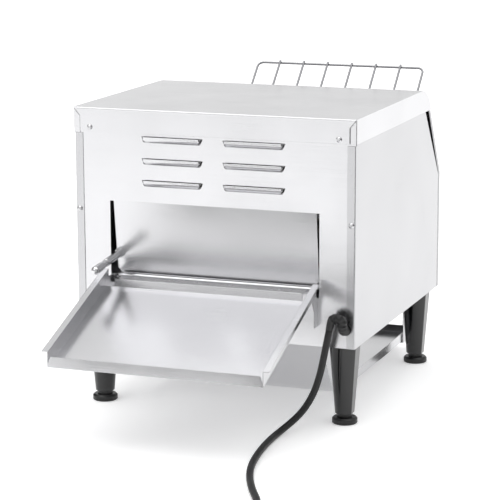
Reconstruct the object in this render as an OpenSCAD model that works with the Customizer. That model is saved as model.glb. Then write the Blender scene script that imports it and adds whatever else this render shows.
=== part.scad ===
// Conveyor toaster: a stainless counter-top machine with a wire feed rack at the front,
// a wire belt between two banks of quartz heaters, a swinging deflector behind the rear
// opening, a hooked rear tray and a front tray under the body. Millimetres, +Z up.
// The controls and the feed rack face -Y, and the rear tray reaches towards +Y.
// Depths are counted from the rear face, so places in front of it are negative.

/* [Body] */
// Width over the top cover
body_w = 368; // [360:1:420]
// Height of the top cover above the table
body_h = 381; // [376:1:400]
// Height of the underside of the base pan above the table
base_z = 101; // [96:1:106]
// Depth from the rear face to the front face
body_d = 380; // [374:1:400]
// Distance from the front face back to where the flat top starts to roll over
nose_back = 99; // [95:1:105]
// Radius of the roll-over at the front of the cover
nose_r = 50; // [45:1:55]
// Depth of the skirt that the cover folds down at its sides and rear
skirt = 30; // [24:1:34]
// Thickness of the sheet metal
sheet = 1; // [0.8:0.1:1.2]
// Height of the rear opening's sill
sill_z = 169.6; // [166:0.1:172]

/* [Louvres] */
// Length of one louvre
louvre_l = 80.5; // [60:0.5:84]
// Height of one louvre
louvre_h = 9; // [7:0.5:11]
// Height from one row of louvres to the next
louvre_pitch = 27.2; // [20:0.1:30]
// Gap between the two columns of louvres
louvre_gap = 26.2; // [16:0.1:30]

/* [Chamber and belt] */
// Width left beside the chamber on the side of the cord
cord_side = 32; // [31:1:34]
// Width left beside the chamber for the drive and the controls
drive_side = 86; // [85:1:90]
// Depth of the rear shaft
rear_shaft_y = 112; // [110:1:118]
// Radius of the belt's wheels
wheel_r = 19; // [16:0.5:20]
// Diameter of the belt's shafts
shaft_d = 8; // [6:0.5:10]
// Diameter of the quartz heater tubes
heater_d = 10; // [8:0.5:11]

/* [Deflector] */
// Depth of the deflector's hinge rod
hinge_y = 14; // [13:0.5:16]
// Diameter of the hinge rod
hinge_d = 5; // [4:0.5:5]
// Length of the deflector's handle
handle_l = 80; // [60:1:90]
// Diameter of the deflector's handle
handle_d = 9.6; // [8:0.2:10]

/* [Rear tray] */
// Reach of the rear tray behind the rear face
tray_reach = 192.6; // [150:0.1:220]
// Distance from the rear face to the tray's inner lip
tray_gap = 22; // [18:1:26]
// Slope of the rear tray in degrees
tray_slope = 19.7; // [15:0.1:22]
// Height of the rear tray's side walls
tray_wall = 18; // [14:1:22]
// Height of the rear tray's end lip
tray_lip = 13; // [8:1:16]
// Width of the flange along each side wall
tray_flange = 8; // [5:1:10]

/* [Front tray] */
// Height of the front tray's underside above the table
front_tray_z = 20; // [14:1:28]
// Distance that the front tray reaches past the front face
front_tray_out = 38; // [30:1:60]
// Height of the front tray's side walls
front_tray_wall = 12; // [8:1:18]
// Slope of the ramp at the rear of the front tray in degrees
ramp_slope = 57; // [52:1:62]

/* [Feed rack] */
// Number of wires between the rack's side wires
rack_bars = 6; // [3:1:9]
// Diameter of the rack's wires
wire_d = 3; // [2.5:0.1:3.4]
// Slope of the rack in degrees
rack_slope = 43.8; // [42:0.1:45]
// Distance that the rack reaches past the front face
rack_out = 40; // [36:1:44]
// Height of the rack's top over the top cover
rack_rise = 13; // [11:1:16]

/* [Legs] */
// Distance of the legs from the body's sides
leg_inset = 22.8; // [21:0.1:26]
// Distance of the rear legs from the rear face
rear_leg_y = 28.7; // [26:0.1:34]
// Distance of the front legs from the front face
front_leg_in = 34.7; // [30:0.1:44]
// Diameter of a leg at its top
leg_top_d = 39; // [34:0.5:40]
// Diameter of a leg at its bottom
leg_bottom_d = 24.4; // [20:0.2:28]
// Diameter of a foot
foot_d = 31.6; // [28:0.2:36]
// Height of a foot's disc
foot_h = 8; // [6:0.5:9]
// Height of a foot's neck under the leg
neck_h = 5; // [3:0.5:7]

/* [Controls] */
// Distance of the controls from the side of the body
control_in = 43; // [41:1:46]

/* [Cord] */
// Diameter of the mains cord
cord_d = 8.5; // [8:0.1:8.6]
// Radius of the outer turn of the stored coil
coil_r = 53; // [48:0.5:56]
// Radial step from one turn of the coil to the next
coil_pitch = 9.2; // [9.1:0.1:9.6]
// Height of one layer of the coil
coil_layer = 9; // [8.95:0.05:9.4]

/* [Hidden] */

// Gap left between parts that lie against each other
seam = 0.3;
// Radial clearance of a shaft that turns in its hole
running = 0.05;
// Overlap of two solids that are joined into one
weld = 0.2;
steel = "gainsboro";
dark_steel = "darkgray";
black = "#202022";
round_fn = 64;

// Furthest reach of the object to the front and to the rear of the rear face
rack_reach = body_d + rack_out;
rack_top = body_h + rack_rise;
front_tray_reach = body_d + front_tray_out;
front_reach = rack_reach + wire_d / 2;
rear_reach = tray_reach;
// The origin lies in the middle of the footprint, so the rear face stands at this y
rear_y = (front_reach - rear_reach) / 2;

// Body
nose_angle = 60;
top_d = body_d - nose_back;
half_w = body_w / 2;
cover_in_x = half_w - sheet;
side_out_x = cover_in_x - seam;
side_in_x = side_out_x - sheet;
cover_rear_y = 2.4;
cover_in_z = body_h - sheet;
skirt_z = body_h - skirt;
exit_w = body_w - 94;
exit_top = body_h - 116;
louvre_z = body_h - 33.8;
return_w = 10.5;
front_flange = 6.5;
front_slit = 1.2;
slit_y = body_d - front_flange - front_slit;
fold_r = 1.8;
mitre_gap = 0.8;
side_nose_gap = 18;
tab_drop = 2;
mitre_w = 9;
mitre_h = 10.5;

// The slanted upper face meets the roll-over here and the upright front face at the bend
slant_top = [-top_d - nose_r * sin(nose_angle), body_h - nose_r + nose_r * cos(nose_angle)];
front_bend_z = slant_top.y - (slant_top.x + body_d) * tan(nose_angle);
slant_rear_y = body_d - 80;

// Chamber
wall_left_x = -half_w + cord_side;
wall_right_x = half_w - drive_side;
chamber_w = wall_right_x - wall_left_x;
chamber_x = (wall_left_x + wall_right_x) / 2;
wall_front_y = body_d - 35;
jog_y = 78;
drop_x = exit_w / 2 + 2;
wall_top_z = body_h - 41;
drop_front_y = 95;
drop_rear_y = 9;
drop_w = exit_w - 14;
shaft_z = body_h - 141;
front_shaft_y = body_d - 82;
belt_w = chamber_w - 14;
belt_gap = 0.3;
belt_t = 2.4;
belt_in_r = wheel_r + belt_gap;
belt_out_r = belt_in_r + belt_t;
belt_rod_d = 2.2;
belt_rods = 12;
belt_edge_w = 6;
wheel_w = 10;
wheel_inset = 22;
bush_r = 6.5;
bush_flange_r = 9;
cap_r = 7.5;
cap_collar_r = 6.4;
cap_l = 12;
upper_heater_z = body_h - 67;
lower_heater_z = shaft_z + 1;
shaft_span = front_shaft_y - rear_shaft_y;
upper_heater_ys = [for (i = [0 : 3]) rear_shaft_y + 16 + i * (shaft_span - 48) / 3];
lower_heater_ys = [for (i = [0 : 2]) rear_shaft_y + 48 + i * (shaft_span - 96) / 2];

// Drive
pitch = 6.35;
motor_teeth = 12;
driven_teeth = 24;
motor_z = base_z + 59;
chain_lean = 0.975;
motor_y = rear_shaft_y + chain_lean * (shaft_z - motor_z);
chain_x = wall_right_x + 8;
chain_w = 3;
chain_t = 3;
motor_pitch_r = pitch / (2 * sin(180 / motor_teeth));
driven_pitch_r = pitch / (2 * sin(180 / driven_teeth));
tooth = 1.6;
bracket_x = wall_right_x + 16;
bracket_t = 1.6;

// Rack
bar_tip = 2;
rack_length = 148;
rack_corner = 8;
rack_w = chamber_w - 10;
rack_pitch = (rack_w - 65) / (rack_bars - 1);
chute_start = 101;
chute_end = 161;

// Controls, shared out over the upright front face
control_x = half_w - control_in;
control_rise = front_bend_z - base_z;
power_z = base_z + 0.158 * control_rise;
heat_z = base_z + 0.423 * control_rise;
speed_z = base_z + 0.738 * control_rise;
lamp_z = base_z + 0.921 * control_rise;
knob_d = 0.76 * (speed_z - heat_z);
spindle_d = 6;
control_bush_d = 9;
fan_x = control_x;
fan_y = -slant_rear_y;

// Deflector
deflector_w = exit_w - 8;
hinge_z = sill_z - 1.6;
plate_top_y = 1.5;
plate_bottom_y = 12;
plate_bottom_z = hinge_z + 6;
plate_top_z = exit_top + 1.2;
barrel_r = hinge_d / 2 + 1.1;
handle_x = deflector_w / 2 - 4.5;
handle_z = hinge_z + 30;
plate_drop = plate_top_z - plate_bottom_z + sheet;
flap_tilt = atan((plate_bottom_y - plate_top_y) / plate_drop);
handle_y = plate_bottom_y - (handle_z - plate_bottom_z + sheet) * tan(flap_tilt);

// Trays
tray_w = exit_w - 4;
front_tray_w = body_w - 96;

// Legs
leg_track = body_w - 2 * leg_inset;
front_leg_y = body_d - front_leg_in;
leg_bottom_z = foot_h + neck_h;
leg_flat = 0.86;
stud_r = 4;
stud_top_z = 42;
foot_travel = 12;

// Cord: the bends of the strain relief, and the points that the cord follows
gland_x = -half_w + 12.5;
gland_z = base_z + 24;
elbow_d = 10.8;
elbow_out = 6;
elbow_bend = 9;
arch_r = 7.4;
arch_angle = 168;
elbow_taper = 9;
route = [
    [-155, 15, 126.7],
    [-152.9, 15.4, 115.8],
    [-150.6, 15, 104.8],
    [-148.2, 14.1, 93.7],
    [-145.6, 13.1, 82.6],
    [-142.9, 12.4, 71.5],
    [-139.8, 12.3, 60.6],
    [-136.4, 13.1, 50.2],
    [-132.4, 15.3, 40.4],
    [-127.9, 18.9, 31.4],
    [-122.9, 24, 23.5],
    [-117.5, 30.8, 16.9],
    [-112.1, 39.6, 11.5],
    [-107.4, 50.9, 7.2],
    [-104.3, 66.7, 4.4],
    [-105.1, 92, 4.4],
    [-107.3, 118.7, 4.4],
    [-110.9, 146.9, 4.4],
    [-116.2, 176.4, 4.4],
    [-124.1, 206.8, 4.4],
    [-135, 237.2, 4.4],
    [-147.6, 265.3, 4.4],
    [-157.2, 284, 4.4],
    [-167, 303, 4.4],
    [-177.5, 331, 4.4],
    [-184, 360, 4.4],
    [-186, 390, 4.4],
    [-186, 420, 4.4]];
run_sides = 10;

// ---------------------------------------------------------------- helpers

// Places shapes that are drawn with the rear face at y = 0
module placed() {
    translate([0, rear_y, 0]) children();
}

// Extrudes an outline drawn in y and z from x0 to x1
module along_x(x0, x1) {
    translate([x0, 0, 0]) rotate([90, 0, 90]) linear_extrude(x1 - x0) children();
}

// Extrudes an outline drawn in x and z from y0 to y1
module along_y(y0, y1) {
    translate([0, y1, 0]) rotate([90, 0, 0]) linear_extrude(y1 - y0) children();
}

// A box from its lowest to its highest corner
module block(low, high) {
    translate(low) cube(high - low);
}

// A round bar along x
module bar_x(x0, x1, y, z, r) {
    translate([x0, y, z]) rotate([0, 90, 0]) cylinder(r = r, h = x1 - x0, $fn = round_fn);
}

// A round bar along y
module bar_y(y0, y1, x, z, r) {
    translate([x, y0, z]) rotate([-90, 0, 0]) cylinder(r = r, h = y1 - y0, $fn = round_fn);
}

// Side outline of the body, drawn in y and z and pulled in by an inset
module body_outline(inset = 0) {
    r = nose_r - inset;
    centre = [-top_d, body_h - nose_r];
    tangent = centre + r * [-sin(nose_angle), cos(nose_angle)];
    front = -body_d + inset;
    bend_z = tangent.y - (tangent.x - front) * tan(nose_angle);
    polygon([[0, base_z], [0, body_h - inset], [-top_d, body_h - inset], centre, tangent,
        [front, bend_z], [front, base_z]]);
    intersection() {
        translate(centre) circle(r = r, $fn = 96);
        polygon([centre, [-top_d, body_h], [-body_d, body_h], [-body_d, tangent.y], tangent]);
    }
}

// A slice of the body's skin: the band between two insets
module skin(outer, inner) {
    difference() {
        body_outline(outer);
        body_outline(inner);
    }
}

function unit(v) = v / norm(v);

// One ring of a tube round a point, square to the tangent
function ring(at, tangent, guide, r, sides) =
    let (side = unit(cross(tangent, guide)), up = cross(side, tangent))
    [for (i = [0 : sides - 1]) at + r * (cos(360 * i / sides) * side + sin(360 * i / sides) * up)];

// A closed tube through points, with one ring at each point and one radius or a list of them
module tube(points, tangents, guide, r, sides) {
    n = len(points);
    rings = [for (i = [0 : n - 1]) 
        each ring(points[i], tangents[i], guide, is_list(r) ? r[i] : r, sides)];
    walls = [for (i = [0 : n - 2]) for (j = [0 : sides - 1])
        let (a = i * sides + j, b = i * sides + (j + 1) % sides, c = a + sides, d = b + sides)
        each [[a, b, d], [a, d, c]]];
    start = [for (j = [1 : sides - 2]) [0, j + 1, j]];
    last = (n - 1) * sides;
    end = [for (j = [1 : sides - 2]) [last, last + j, last + j + 1]];
    polyhedron(points = rings, faces = concat(walls, start, end));
}

// ---------------------------------------------------------------- casing

// Floor of the machine, with the drop to the front tray and vents under the fan
module base_pan() color(dark_steel) placed() {
    x = side_in_x;
    edge_y = body_d - sheet - seam;
    difference() {
        union() {
            block([-x, -edge_y, base_z], [x, -sheet - seam, base_z + sheet]);
            for (s = [-1, 1]) {
                block([min(s * x, s * (x - sheet)), -edge_y + 8, base_z],
                    [max(s * x, s * (x - sheet)), -12, base_z + 13]);
            }
        }
        block([-drop_w / 2, -drop_front_y, base_z - 1], [drop_w / 2, -drop_rear_y, base_z + 2]);
        for (i = [-2 : 2]) {
            block([fan_x - 20, fan_y + i * 10 - 2, base_z - 1], [fan_x + 20, fan_y + i * 10 + 2, base_z + 2]);
        }
        for (p = leg_places) {
            translate([p.x, p.y, base_z - 1]) cylinder(r = leg_bolt_r + running, h = 3, $fn = round_fn);
        }
    }
}

leg_bolt_r = 3;
leg_places = [[leg_track / 2, -rear_leg_y], [-leg_track / 2, -rear_leg_y],
    [leg_track / 2, -front_leg_y], [-leg_track / 2, -front_leg_y]];

// The raised part of a louvre, open at its top; grow is negative for its inside
module louvre_hood(grow) {
    r = louvre_h + grow;
    half = louvre_l / 2 + grow;
    rise = louvre_h - 5 + grow;
    intersection() {
        translate([-half, -5, 0]) rotate([0, 90, 0]) cylinder(r = r, h = 2 * half, $fn = round_fn);
        along_y(grow < 0 ? -3 : -0.5, 10)
            polygon([[-half, 0], [half, 0], [half - 5, -louvre_h - 1], [-half + 5, -louvre_h - 1]]);
        translate([0, 0, -12]) linear_extrude(12 + (grow < 0 ? 0.01 : 0))
            polygon([[-half, -4], [-half, 0], [-half + rise, rise], [half - rise, rise], [half, 0],
                [half, -4]]);
    }
}

// Crescents that are cut out of both ends of a louvre
module louvre_ends() {
    half = louvre_l / 2;
    for (s = [-1, 1]) {
        along_y(-sheet - 1, 10) polygon([[s * half, 0.3], [s * (half - 1.6), 0.3], [s * (half - 2.6), -3],
            [s * (half - 5.6), 0.6 - louvre_h * 0.75], [s * (half - 4.8), -0.2 - louvre_h * 0.75],
            [s * (half - 1.6), -4]]);
    }
}

module each_louvre() {
    for (side = [-1, 1]) {
        for (row = [0 : 2]) {
            translate([side * (louvre_gap + louvre_l) / 2, 0, louvre_z - row * louvre_pitch]) children();
        }
    }
}

// Rear wall with its louvres, the toast opening and the hole for the cord
module rear_panel() color(steel) placed() {
    x = side_in_x - seam;
    half = exit_w / 2;
    difference() {
        union() {
            block([-x, -sheet, base_z], [x, 0, cover_in_z - seam]);
            each_louvre() louvre_hood(0);
        }
        each_louvre() louvre_hood(-sheet);
        each_louvre() louvre_ends();
        block([-half, -sheet - 1, sill_z], [half, 1, exit_top]);
        for (s = [-1, 1]) {
            translate([s * (half - hook_slot_w / 2), -sheet / 2, sill_z - hook_slot_h / 2])
                cube([hook_slot_w, sheet + 2, hook_slot_h + 1], center = true);
            bar_y(-sheet - 1, 1, s * cover_screw_x, cover_screw_z, screw_r + running);
            bar_y(-sheet - 1, 1, s * side_screw_x, side_screw_z, screw_r + running);
        }
        bar_y(-sheet - 1, 1, gland_x, gland_z, gland_hole_r);
    }
}

hook_slot_w = 7.5;
hook_slot_h = 7.6;
slot_z = sill_z - hook_slot_h;
screw_r = 2;
cover_screw_x = half_w - 22;
cover_screw_z = skirt_z + 5.3;
side_screw_x = side_out_x - 4.9;
side_screw_z = body_h - 128;
gland_hole_r = 5.6;

// Rounds the upright outer edge of a fold whose corner lies at x and y
module fold_cut(s, x, y) {
    translate([s * (x - fold_r), y - fold_r, base_z - 1]) difference() {
        translate([s > 0 ? 0 : -fold_r - 1, 0, 0]) cube([fold_r + 1, fold_r + 1, body_h - base_z]);
        translate([0, 0, -1]) cylinder(r = fold_r, h = body_h, $fn = 48);
    }
}

// Outline of a side panel, stopped short of the front so that a dark slit shows
module side_outline() {
    intersection() {
        body_outline(sheet + seam);
        polygon([[10, base_z - 1], [10, body_h], [-top_d - 15, body_h],
            [-(body_d - 58 - side_nose_gap), skirt_z], [-slit_y, front_bend_z - 2.5],
            [-slit_y, base_z - 1]]);
    }
}

module side_panel(s) {
    difference() {
        union() {
            along_x(min(s * side_out_x, s * side_in_x), max(s * side_out_x, s * side_in_x)) side_outline();
            block([min(s * side_out_x, s * (side_out_x - return_w)), 0, base_z],
                [max(s * side_out_x, s * (side_out_x - return_w)), sheet, skirt_z - tab_drop - seam]);
            block([min(s * side_out_x, s * side_in_x), -1, base_z],
                [max(s * side_out_x, s * side_in_x), sheet, skirt_z - tab_drop - seam]);
        }
        fold_cut(s, side_out_x, sheet);
        bar_y(-1, sheet + 1, s * side_screw_x, side_screw_z, screw_r + running);
        bar_y(-1, sheet + 1, gland_x, gland_z, gland_flange_r + 0.5);
    }
}

gland_flange_r = 7.5;

module left_side_panel() color(steel) placed() side_panel(-1);

module right_side_panel() color(steel) placed() side_panel(1);

// Lid with a rolled front edge, side skirts, corner tabs and a mitred rear skirt
module top_cover() color(steel) placed() {
    tab_y = 1.2;
    tab_in_x = half_w - mitre_w + mitre_gap;
    difference() {
        union() {
            along_x(-half_w, half_w) intersection() {
                skin(0, sheet);
                translate([-body_d, skirt_z]) square([body_d + 10, skirt]);
                polygon([[-sheet - 0.001, body_h + 1], [-sheet - 0.001, cover_in_z - 0.5], [-top_d, 200],
                    [-body_d, 200], [-body_d, body_h + 1]]);
            }
            block([-half_w, -10, cover_in_z], [half_w, cover_rear_y, body_h]);
            for (s = [-1, 1]) {
                along_x(min(s * half_w, s * cover_in_x), max(s * half_w, s * cover_in_x)) intersection() {
                    union() {
                        body_outline(0);
                        translate([-10, skirt_z]) square([10 + tab_y, skirt]);
                    }
                    translate([-body_d, skirt_z]) square([body_d + 10, skirt]);
                }
                along_y(tab_y - sheet, tab_y) polygon([[s * half_w, skirt_z - tab_drop],
                    [s * half_w, body_h - 2 * mitre_gap], [s * tab_in_x, body_h - mitre_h - mitre_gap],
                    [s * tab_in_x, skirt_z - tab_drop]]);
            }
            along_y(cover_rear_y - sheet, cover_rear_y) polygon([[-half_w, body_h], [half_w, body_h],
                [half_w - mitre_w, body_h - mitre_h], [half_w - mitre_w, skirt_z],
                [-half_w + mitre_w, skirt_z], [-half_w + mitre_w, body_h - mitre_h]]);
        }
        for (s = [-1, 1]) {
            bar_y(0, cover_rear_y + 1, s * cover_screw_x, cover_screw_z, screw_r + running);
            intersection() {
                fold_cut(s, half_w, tab_y);
                block([-half_w - 1, -10, skirt_z - tab_drop - 1],
                    [half_w + 1, tab_y + 0.5, body_h - mitre_gap]);
            }
        }
        translate([-half_w - 1, cover_rear_y - fold_r, body_h - fold_r]) difference() {
            cube([body_w + 2, fold_r + 1, fold_r + 1]);
            rotate([0, 90, 0]) cylinder(r = fold_r, h = body_w + 2, $fn = 48);
        }
    }
}

// Front wall: a slanted face with the notch for the bread and a upright face for the controls
module front_panel() color(steel) placed() {
    x = side_out_x;
    difference() {
        union() {
            along_x(-x, x) intersection() {
                skin(0, sheet);
                front_zone();
            }
            for (s = [-1, 1]) {
                along_x(min(s * x, s * (x - sheet)), max(s * x, s * (x - sheet))) intersection() {
                    skin(0, front_flange);
                    front_zone();
                }
            }
        }
        block([wall_left_x - 1, -body_d, notch_z], [wall_right_x + 1, -slant_rear_y, skirt_z + 5]);
        bar_y(-body_d - 1, -body_d + 2, control_x, speed_z, control_bush_d / 2 + running);
        bar_y(-body_d - 1, -body_d + 2, control_x, heat_z, control_bush_d / 2 + running);
        block([control_x - switch_w / 2 - running, -body_d - 1, power_z - switch_h / 2 - running],
            [control_x + switch_w / 2 + running, -body_d + 2, power_z + switch_h / 2 + running]);
        for (s = [-1, 1]) {
            bar_y(-body_d - 1, -body_d + 2, control_x + s * lamp_pitch / 2, lamp_z, lamp_r + running);
        }
    }
}

notch_z = body_h - 63;
switch_w = 27;
switch_h = 21;
lamp_pitch = 24;
lamp_r = 4;

module front_zone() {
    polygon([[-body_d - 1, base_z], [-body_d - 1, skirt_z - seam], [-slant_rear_y, skirt_z - seam],
        [-slant_rear_y, body_h - 81], [-body_d + 20, front_bend_z - 20], [-body_d + 20, base_z]]);
}

// Outline that keeps the inner walls inside the casing
module wall_outline(rear) {
    intersection() {
        body_outline(8);
        translate([-wall_front_y, base_z + sheet]) square([wall_front_y - rear, wall_top_z - base_z - sheet]);
    }
}

// Holes that the shafts and heaters need in a wall between x0 and x1
module wall_holes(x0, x1) {
    for (y = [rear_shaft_y, front_shaft_y]) {
        bar_x(x0, x1, -y, shaft_z, bush_r);
    }
    for (y = upper_heater_ys) {
        bar_x(x0, x1, -y, upper_heater_z, cap_collar_r + running);
    }
    for (y = lower_heater_ys) {
        bar_x(x0, x1, -y, lower_heater_z, cap_collar_r + running);
    }
}

module left_inner_wall() color(steel) placed() {
    difference() {
        union() {
            along_x(wall_left_x - sheet, wall_left_x) wall_outline(sheet + seam);
            block([wall_left_x - 9, -wall_front_y, base_z + sheet],
                [wall_left_x, -sheet - seam, base_z + 2 * sheet]);
        }
        wall_holes(wall_left_x - 2, wall_left_x + 1);
        bar_x(wall_left_x - 2, wall_left_x + 1, -hinge_y, hinge_z, hinge_d / 2 + running);
        translate([-leg_track / 2, -rear_leg_y, base_z]) cylinder(r = 7, h = 4, $fn = round_fn);
        translate([-leg_track / 2, -front_leg_y, base_z]) cylinder(r = 7, h = 4, $fn = round_fn);
    }
}

module right_inner_wall() color(steel) placed() {
    difference() {
        union() {
            along_x(wall_right_x, wall_right_x + sheet) wall_outline(jog_y);
            along_x(drop_x, drop_x + sheet) intersection() {
                wall_outline(sheet + seam);
                translate([-jog_y - sheet, 0]) square([jog_y + sheet, body_h]);
            }
            block([wall_right_x, -jog_y - sheet, base_z + sheet], [drop_x + sheet, -jog_y, wall_top_z]);
            block([wall_right_x, -wall_front_y, base_z + sheet],
                [wall_right_x + 9, -jog_y, base_z + 2 * sheet]);
        }
        wall_holes(wall_right_x - 1, wall_right_x + 2);
        bar_x(drop_x - 1, drop_x + 2, -hinge_y, hinge_z, hinge_d / 2 + running);
    }
}

// A folded plate that spans the chamber, drawn in y and z
module chamber_plate() {
    along_x(wall_left_x + seam, wall_right_x - seam) children();
}

module upper_reflector() color(steel) placed() chamber_plate() {
    z = upper_heater_z + 14;
    rear = -rear_shaft_y + 16;
    front = -front_shaft_y + 4;
    polygon([[rear, z - 9], [rear - 10, z], [front + 10, z], [front, z - 9], [front + 0.7, z - 9.7],
        [front + 10.4, z - sheet], [rear - 10.4, z - sheet], [rear - 0.7, z - 9.7]]);
}

module lower_reflector() color(steel) placed() chamber_plate() {
    z = lower_heater_z - 12;
    rear = -rear_shaft_y - 24;
    front = -front_shaft_y + 24;
    polygon([[rear, z + 8], [rear - 8, z], [front + 8, z], [front, z + 8], [front + 0.8, z + 8.8],
        [front + 8.5, z + sheet], [rear - 8.5, z + sheet], [rear - 0.8, z + 8.8]]);
}

// Plate under the belt that catches the crumbs
module crumb_plate() color(steel) placed() {
    z = shaft_z - belt_out_r - 18;
    rear = -rear_shaft_y + 14;
    front = -front_shaft_y - 35;
    chamber_plate() polygon([[rear, z], [rear, z + sheet], [front + sheet, z + sheet],
        [front + sheet, z + 8], [front, z + 8], [front, z]]);
    for (x = [wall_left_x + seam, wall_right_x - seam - sheet]) {
        block([x, front + sheet / 2, z], [x + sheet, rear, z + 8]);
    }
}

// Slide that leads the bread from the notch down to the belt
module infeed_chute() color(steel) placed() {
    chamber_plate() intersection() {
        rack_frame_2d() translate([chute_start, -wire_d / 2 - seam - sheet])
            square([chute_end - chute_start, sheet]);
        body_outline(0);
    }
    chamber_plate() intersection() {
        skin(sheet + seam, 2 * sheet + seam);
        translate([-body_d, notch_z - 24]) square([80, 28]);
        rack_frame_2d() translate([0, -60]) square([200, 60 - wire_d / 2 - seam - sheet / 2]);
    }
}

// Turns an outline whose x runs down the rack's slope from the rack's top
module rack_frame_2d() {
    translate([-rack_reach, rack_top]) rotate(-rack_slope) children();
}

// ---------------------------------------------------------------- heaters and belt

module each_heater() {
    for (y = upper_heater_ys) {
        translate([0, -y, upper_heater_z]) children();
    }
    for (y = lower_heater_ys) {
        translate([0, -y, lower_heater_z]) children();
    }
}

module heater_tubes() color("white") placed() each_heater() {
    bar_x(wall_left_x - sheet - cap_l + 4, wall_right_x + sheet + cap_l - 4, 0, 0, heater_d / 2);
}

// Ceramic caps that carry the heater tubes in the inner walls
module heater_caps() color("ivory") placed() each_heater() {
    for (side = [[wall_left_x, -1], [wall_right_x, 1]]) {
        outer = side[0] + side[1] * (sheet + seam);
        difference() {
            union() {
                bar_x(min(outer, outer + side[1] * cap_l), max(outer, outer + side[1] * cap_l), 0, 0, cap_r);
                bar_x(min(side[0], outer) - 0.5, max(side[0], outer) + 0.5, 0, 0, cap_collar_r);
            }
            bar_x(min(side[0] - side[1], outer + side[1] * (cap_l - 3.5)),
                max(side[0] - side[1], outer + side[1] * (cap_l - 3.5)), 0, 0, heater_d / 2 + running);
        }
    }
}

// Loop of the belt with a given radius round both shafts
module belt_loop(r) {
    for (y = [rear_shaft_y, front_shaft_y]) {
        translate([-y, shaft_z]) circle(r = r, $fn = round_fn);
    }
    translate([-front_shaft_y, shaft_z - r]) square([front_shaft_y - rear_shaft_y, 2 * r]);
}

module conveyor_belt() color(dark_steel) placed() {
    left = chamber_x - belt_w / 2;
    mid_r = (belt_in_r + belt_out_r) / 2;
    step = (front_shaft_y - rear_shaft_y) / belt_rods;
    for (x = [left + 2, chamber_x - belt_edge_w / 2, left + belt_w - belt_edge_w - 2]) {
        along_x(x, x + belt_edge_w) difference() {
            belt_loop(belt_out_r);
            belt_loop(belt_in_r);
        }
    }
    for (i = [0 : belt_rods]) {
        for (side = [-1, 1]) {
            bar_x(left, left + belt_w, -rear_shaft_y - i * step, shaft_z + side * mid_r, belt_rod_d / 2);
        }
    }
    for (end = [[-rear_shaft_y, 1], [-front_shaft_y, -1]]) {
        for (a = [-45, 0, 45]) {
            bar_x(left, left + belt_w, end[0] + end[1] * mid_r * cos(a), shaft_z + mid_r * sin(a),
                belt_rod_d / 2);
        }
    }
}

module shaft_bar(y, x1) {
    bar_x(wall_left_x - 8, x1, -y, shaft_z, shaft_d / 2);
}

module rear_shaft() color("silver") placed() shaft_bar(rear_shaft_y, chain_x + chain_w + 5);

module front_shaft() color("silver") placed() shaft_bar(front_shaft_y, wall_right_x + 8);

// Three wheels that carry the belt on one shaft
module belt_wheels(y) {
    for (x = [chamber_x - chamber_w / 2 + wheel_inset, chamber_x, chamber_x + chamber_w / 2 - wheel_inset]) {
        difference() {
            union() {
                bar_x(x - wheel_w / 2, x + wheel_w / 2, -y, shaft_z, wheel_r);
                bar_x(x - wheel_w / 2 - 4, x + wheel_w / 2 + 4, -y, shaft_z, shaft_d);
            }
            bar_x(x - wheel_w, x + wheel_w, -y, shaft_z, shaft_d / 2);
            for (a = [0 : 60 : 300]) {
                bar_x(x - wheel_w, x + wheel_w, -y + 13 * cos(a), shaft_z + 13 * sin(a), 3);
            }
        }
    }
}

module rear_wheels() color(dark_steel) placed() belt_wheels(rear_shaft_y);

module front_wheels() color(dark_steel) placed() belt_wheels(front_shaft_y);

module shaft_bushes() color("goldenrod") placed() {
    for (y = [rear_shaft_y, front_shaft_y]) {
        for (side = [[wall_left_x, -1], [wall_right_x, 1]]) {
            outer = side[0] + side[1] * sheet;
            difference() {
                union() {
                    bar_x(min(side[0], outer), max(side[0], outer), -y, shaft_z, bush_r);
                    bar_x(min(outer, outer + side[1] * 3), max(outer, outer + side[1] * 3), -y, shaft_z,
                        bush_flange_r);
                }
                bar_x(side[0] - 5, side[0] + 5, -y, shaft_z, shaft_d / 2 + running);
            }
        }
    }
}

// ---------------------------------------------------------------- drive

// Toothed wheel round the x axis
module sprocket(y, z, pitch_r, teeth, hub_r, hub_x) {
    difference() {
        union() {
            bar_x(chain_x, chain_x + chain_w, y, z, pitch_r - 1);
            bar_x(hub_x, chain_x + chain_w + 3, y, z, hub_r);
            translate([chain_x, y, z]) rotate([90, 0, 90]) linear_extrude(chain_w)
                for (i = [0 : teeth - 1]) {
                    rotate(360 * i / teeth) polygon([[pitch_r - 2, -1.9], [pitch_r + tooth, -0.6],
                        [pitch_r + tooth, 0.6], [pitch_r - 2, 1.9]]);
                }
        }
        bar_x(chain_x - 20, chain_x + 20, y, z, shaft_d / 2);
    }
}

module driven_sprocket() color(dark_steel) placed()
    sprocket(-rear_shaft_y, shaft_z, driven_pitch_r, driven_teeth, 8, chain_x - 3);

module motor_sprocket() color(dark_steel) placed() {
    sprocket(-motor_y, motor_z, motor_pitch_r, motor_teeth, 7, chain_x - 3);
    bar_x(chain_x - 2, bracket_x + bracket_t + 10, -motor_y, motor_z, shaft_d / 2);
}

// Outline round both sprockets at a distance outside their teeth
module chain_outline(grow) {
    hull() {
        translate([-rear_shaft_y, shaft_z]) circle(r = driven_pitch_r + tooth + grow, $fn = 48);
        translate([-motor_y, motor_z]) circle(r = motor_pitch_r + tooth + grow, $fn = 36);
    }
}

module drive_chain() color("dimgray") placed() along_x(chain_x - 0.5, chain_x + chain_w + 0.5)
    difference() {
        chain_outline(seam + chain_t);
        chain_outline(seam);
    }

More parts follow.
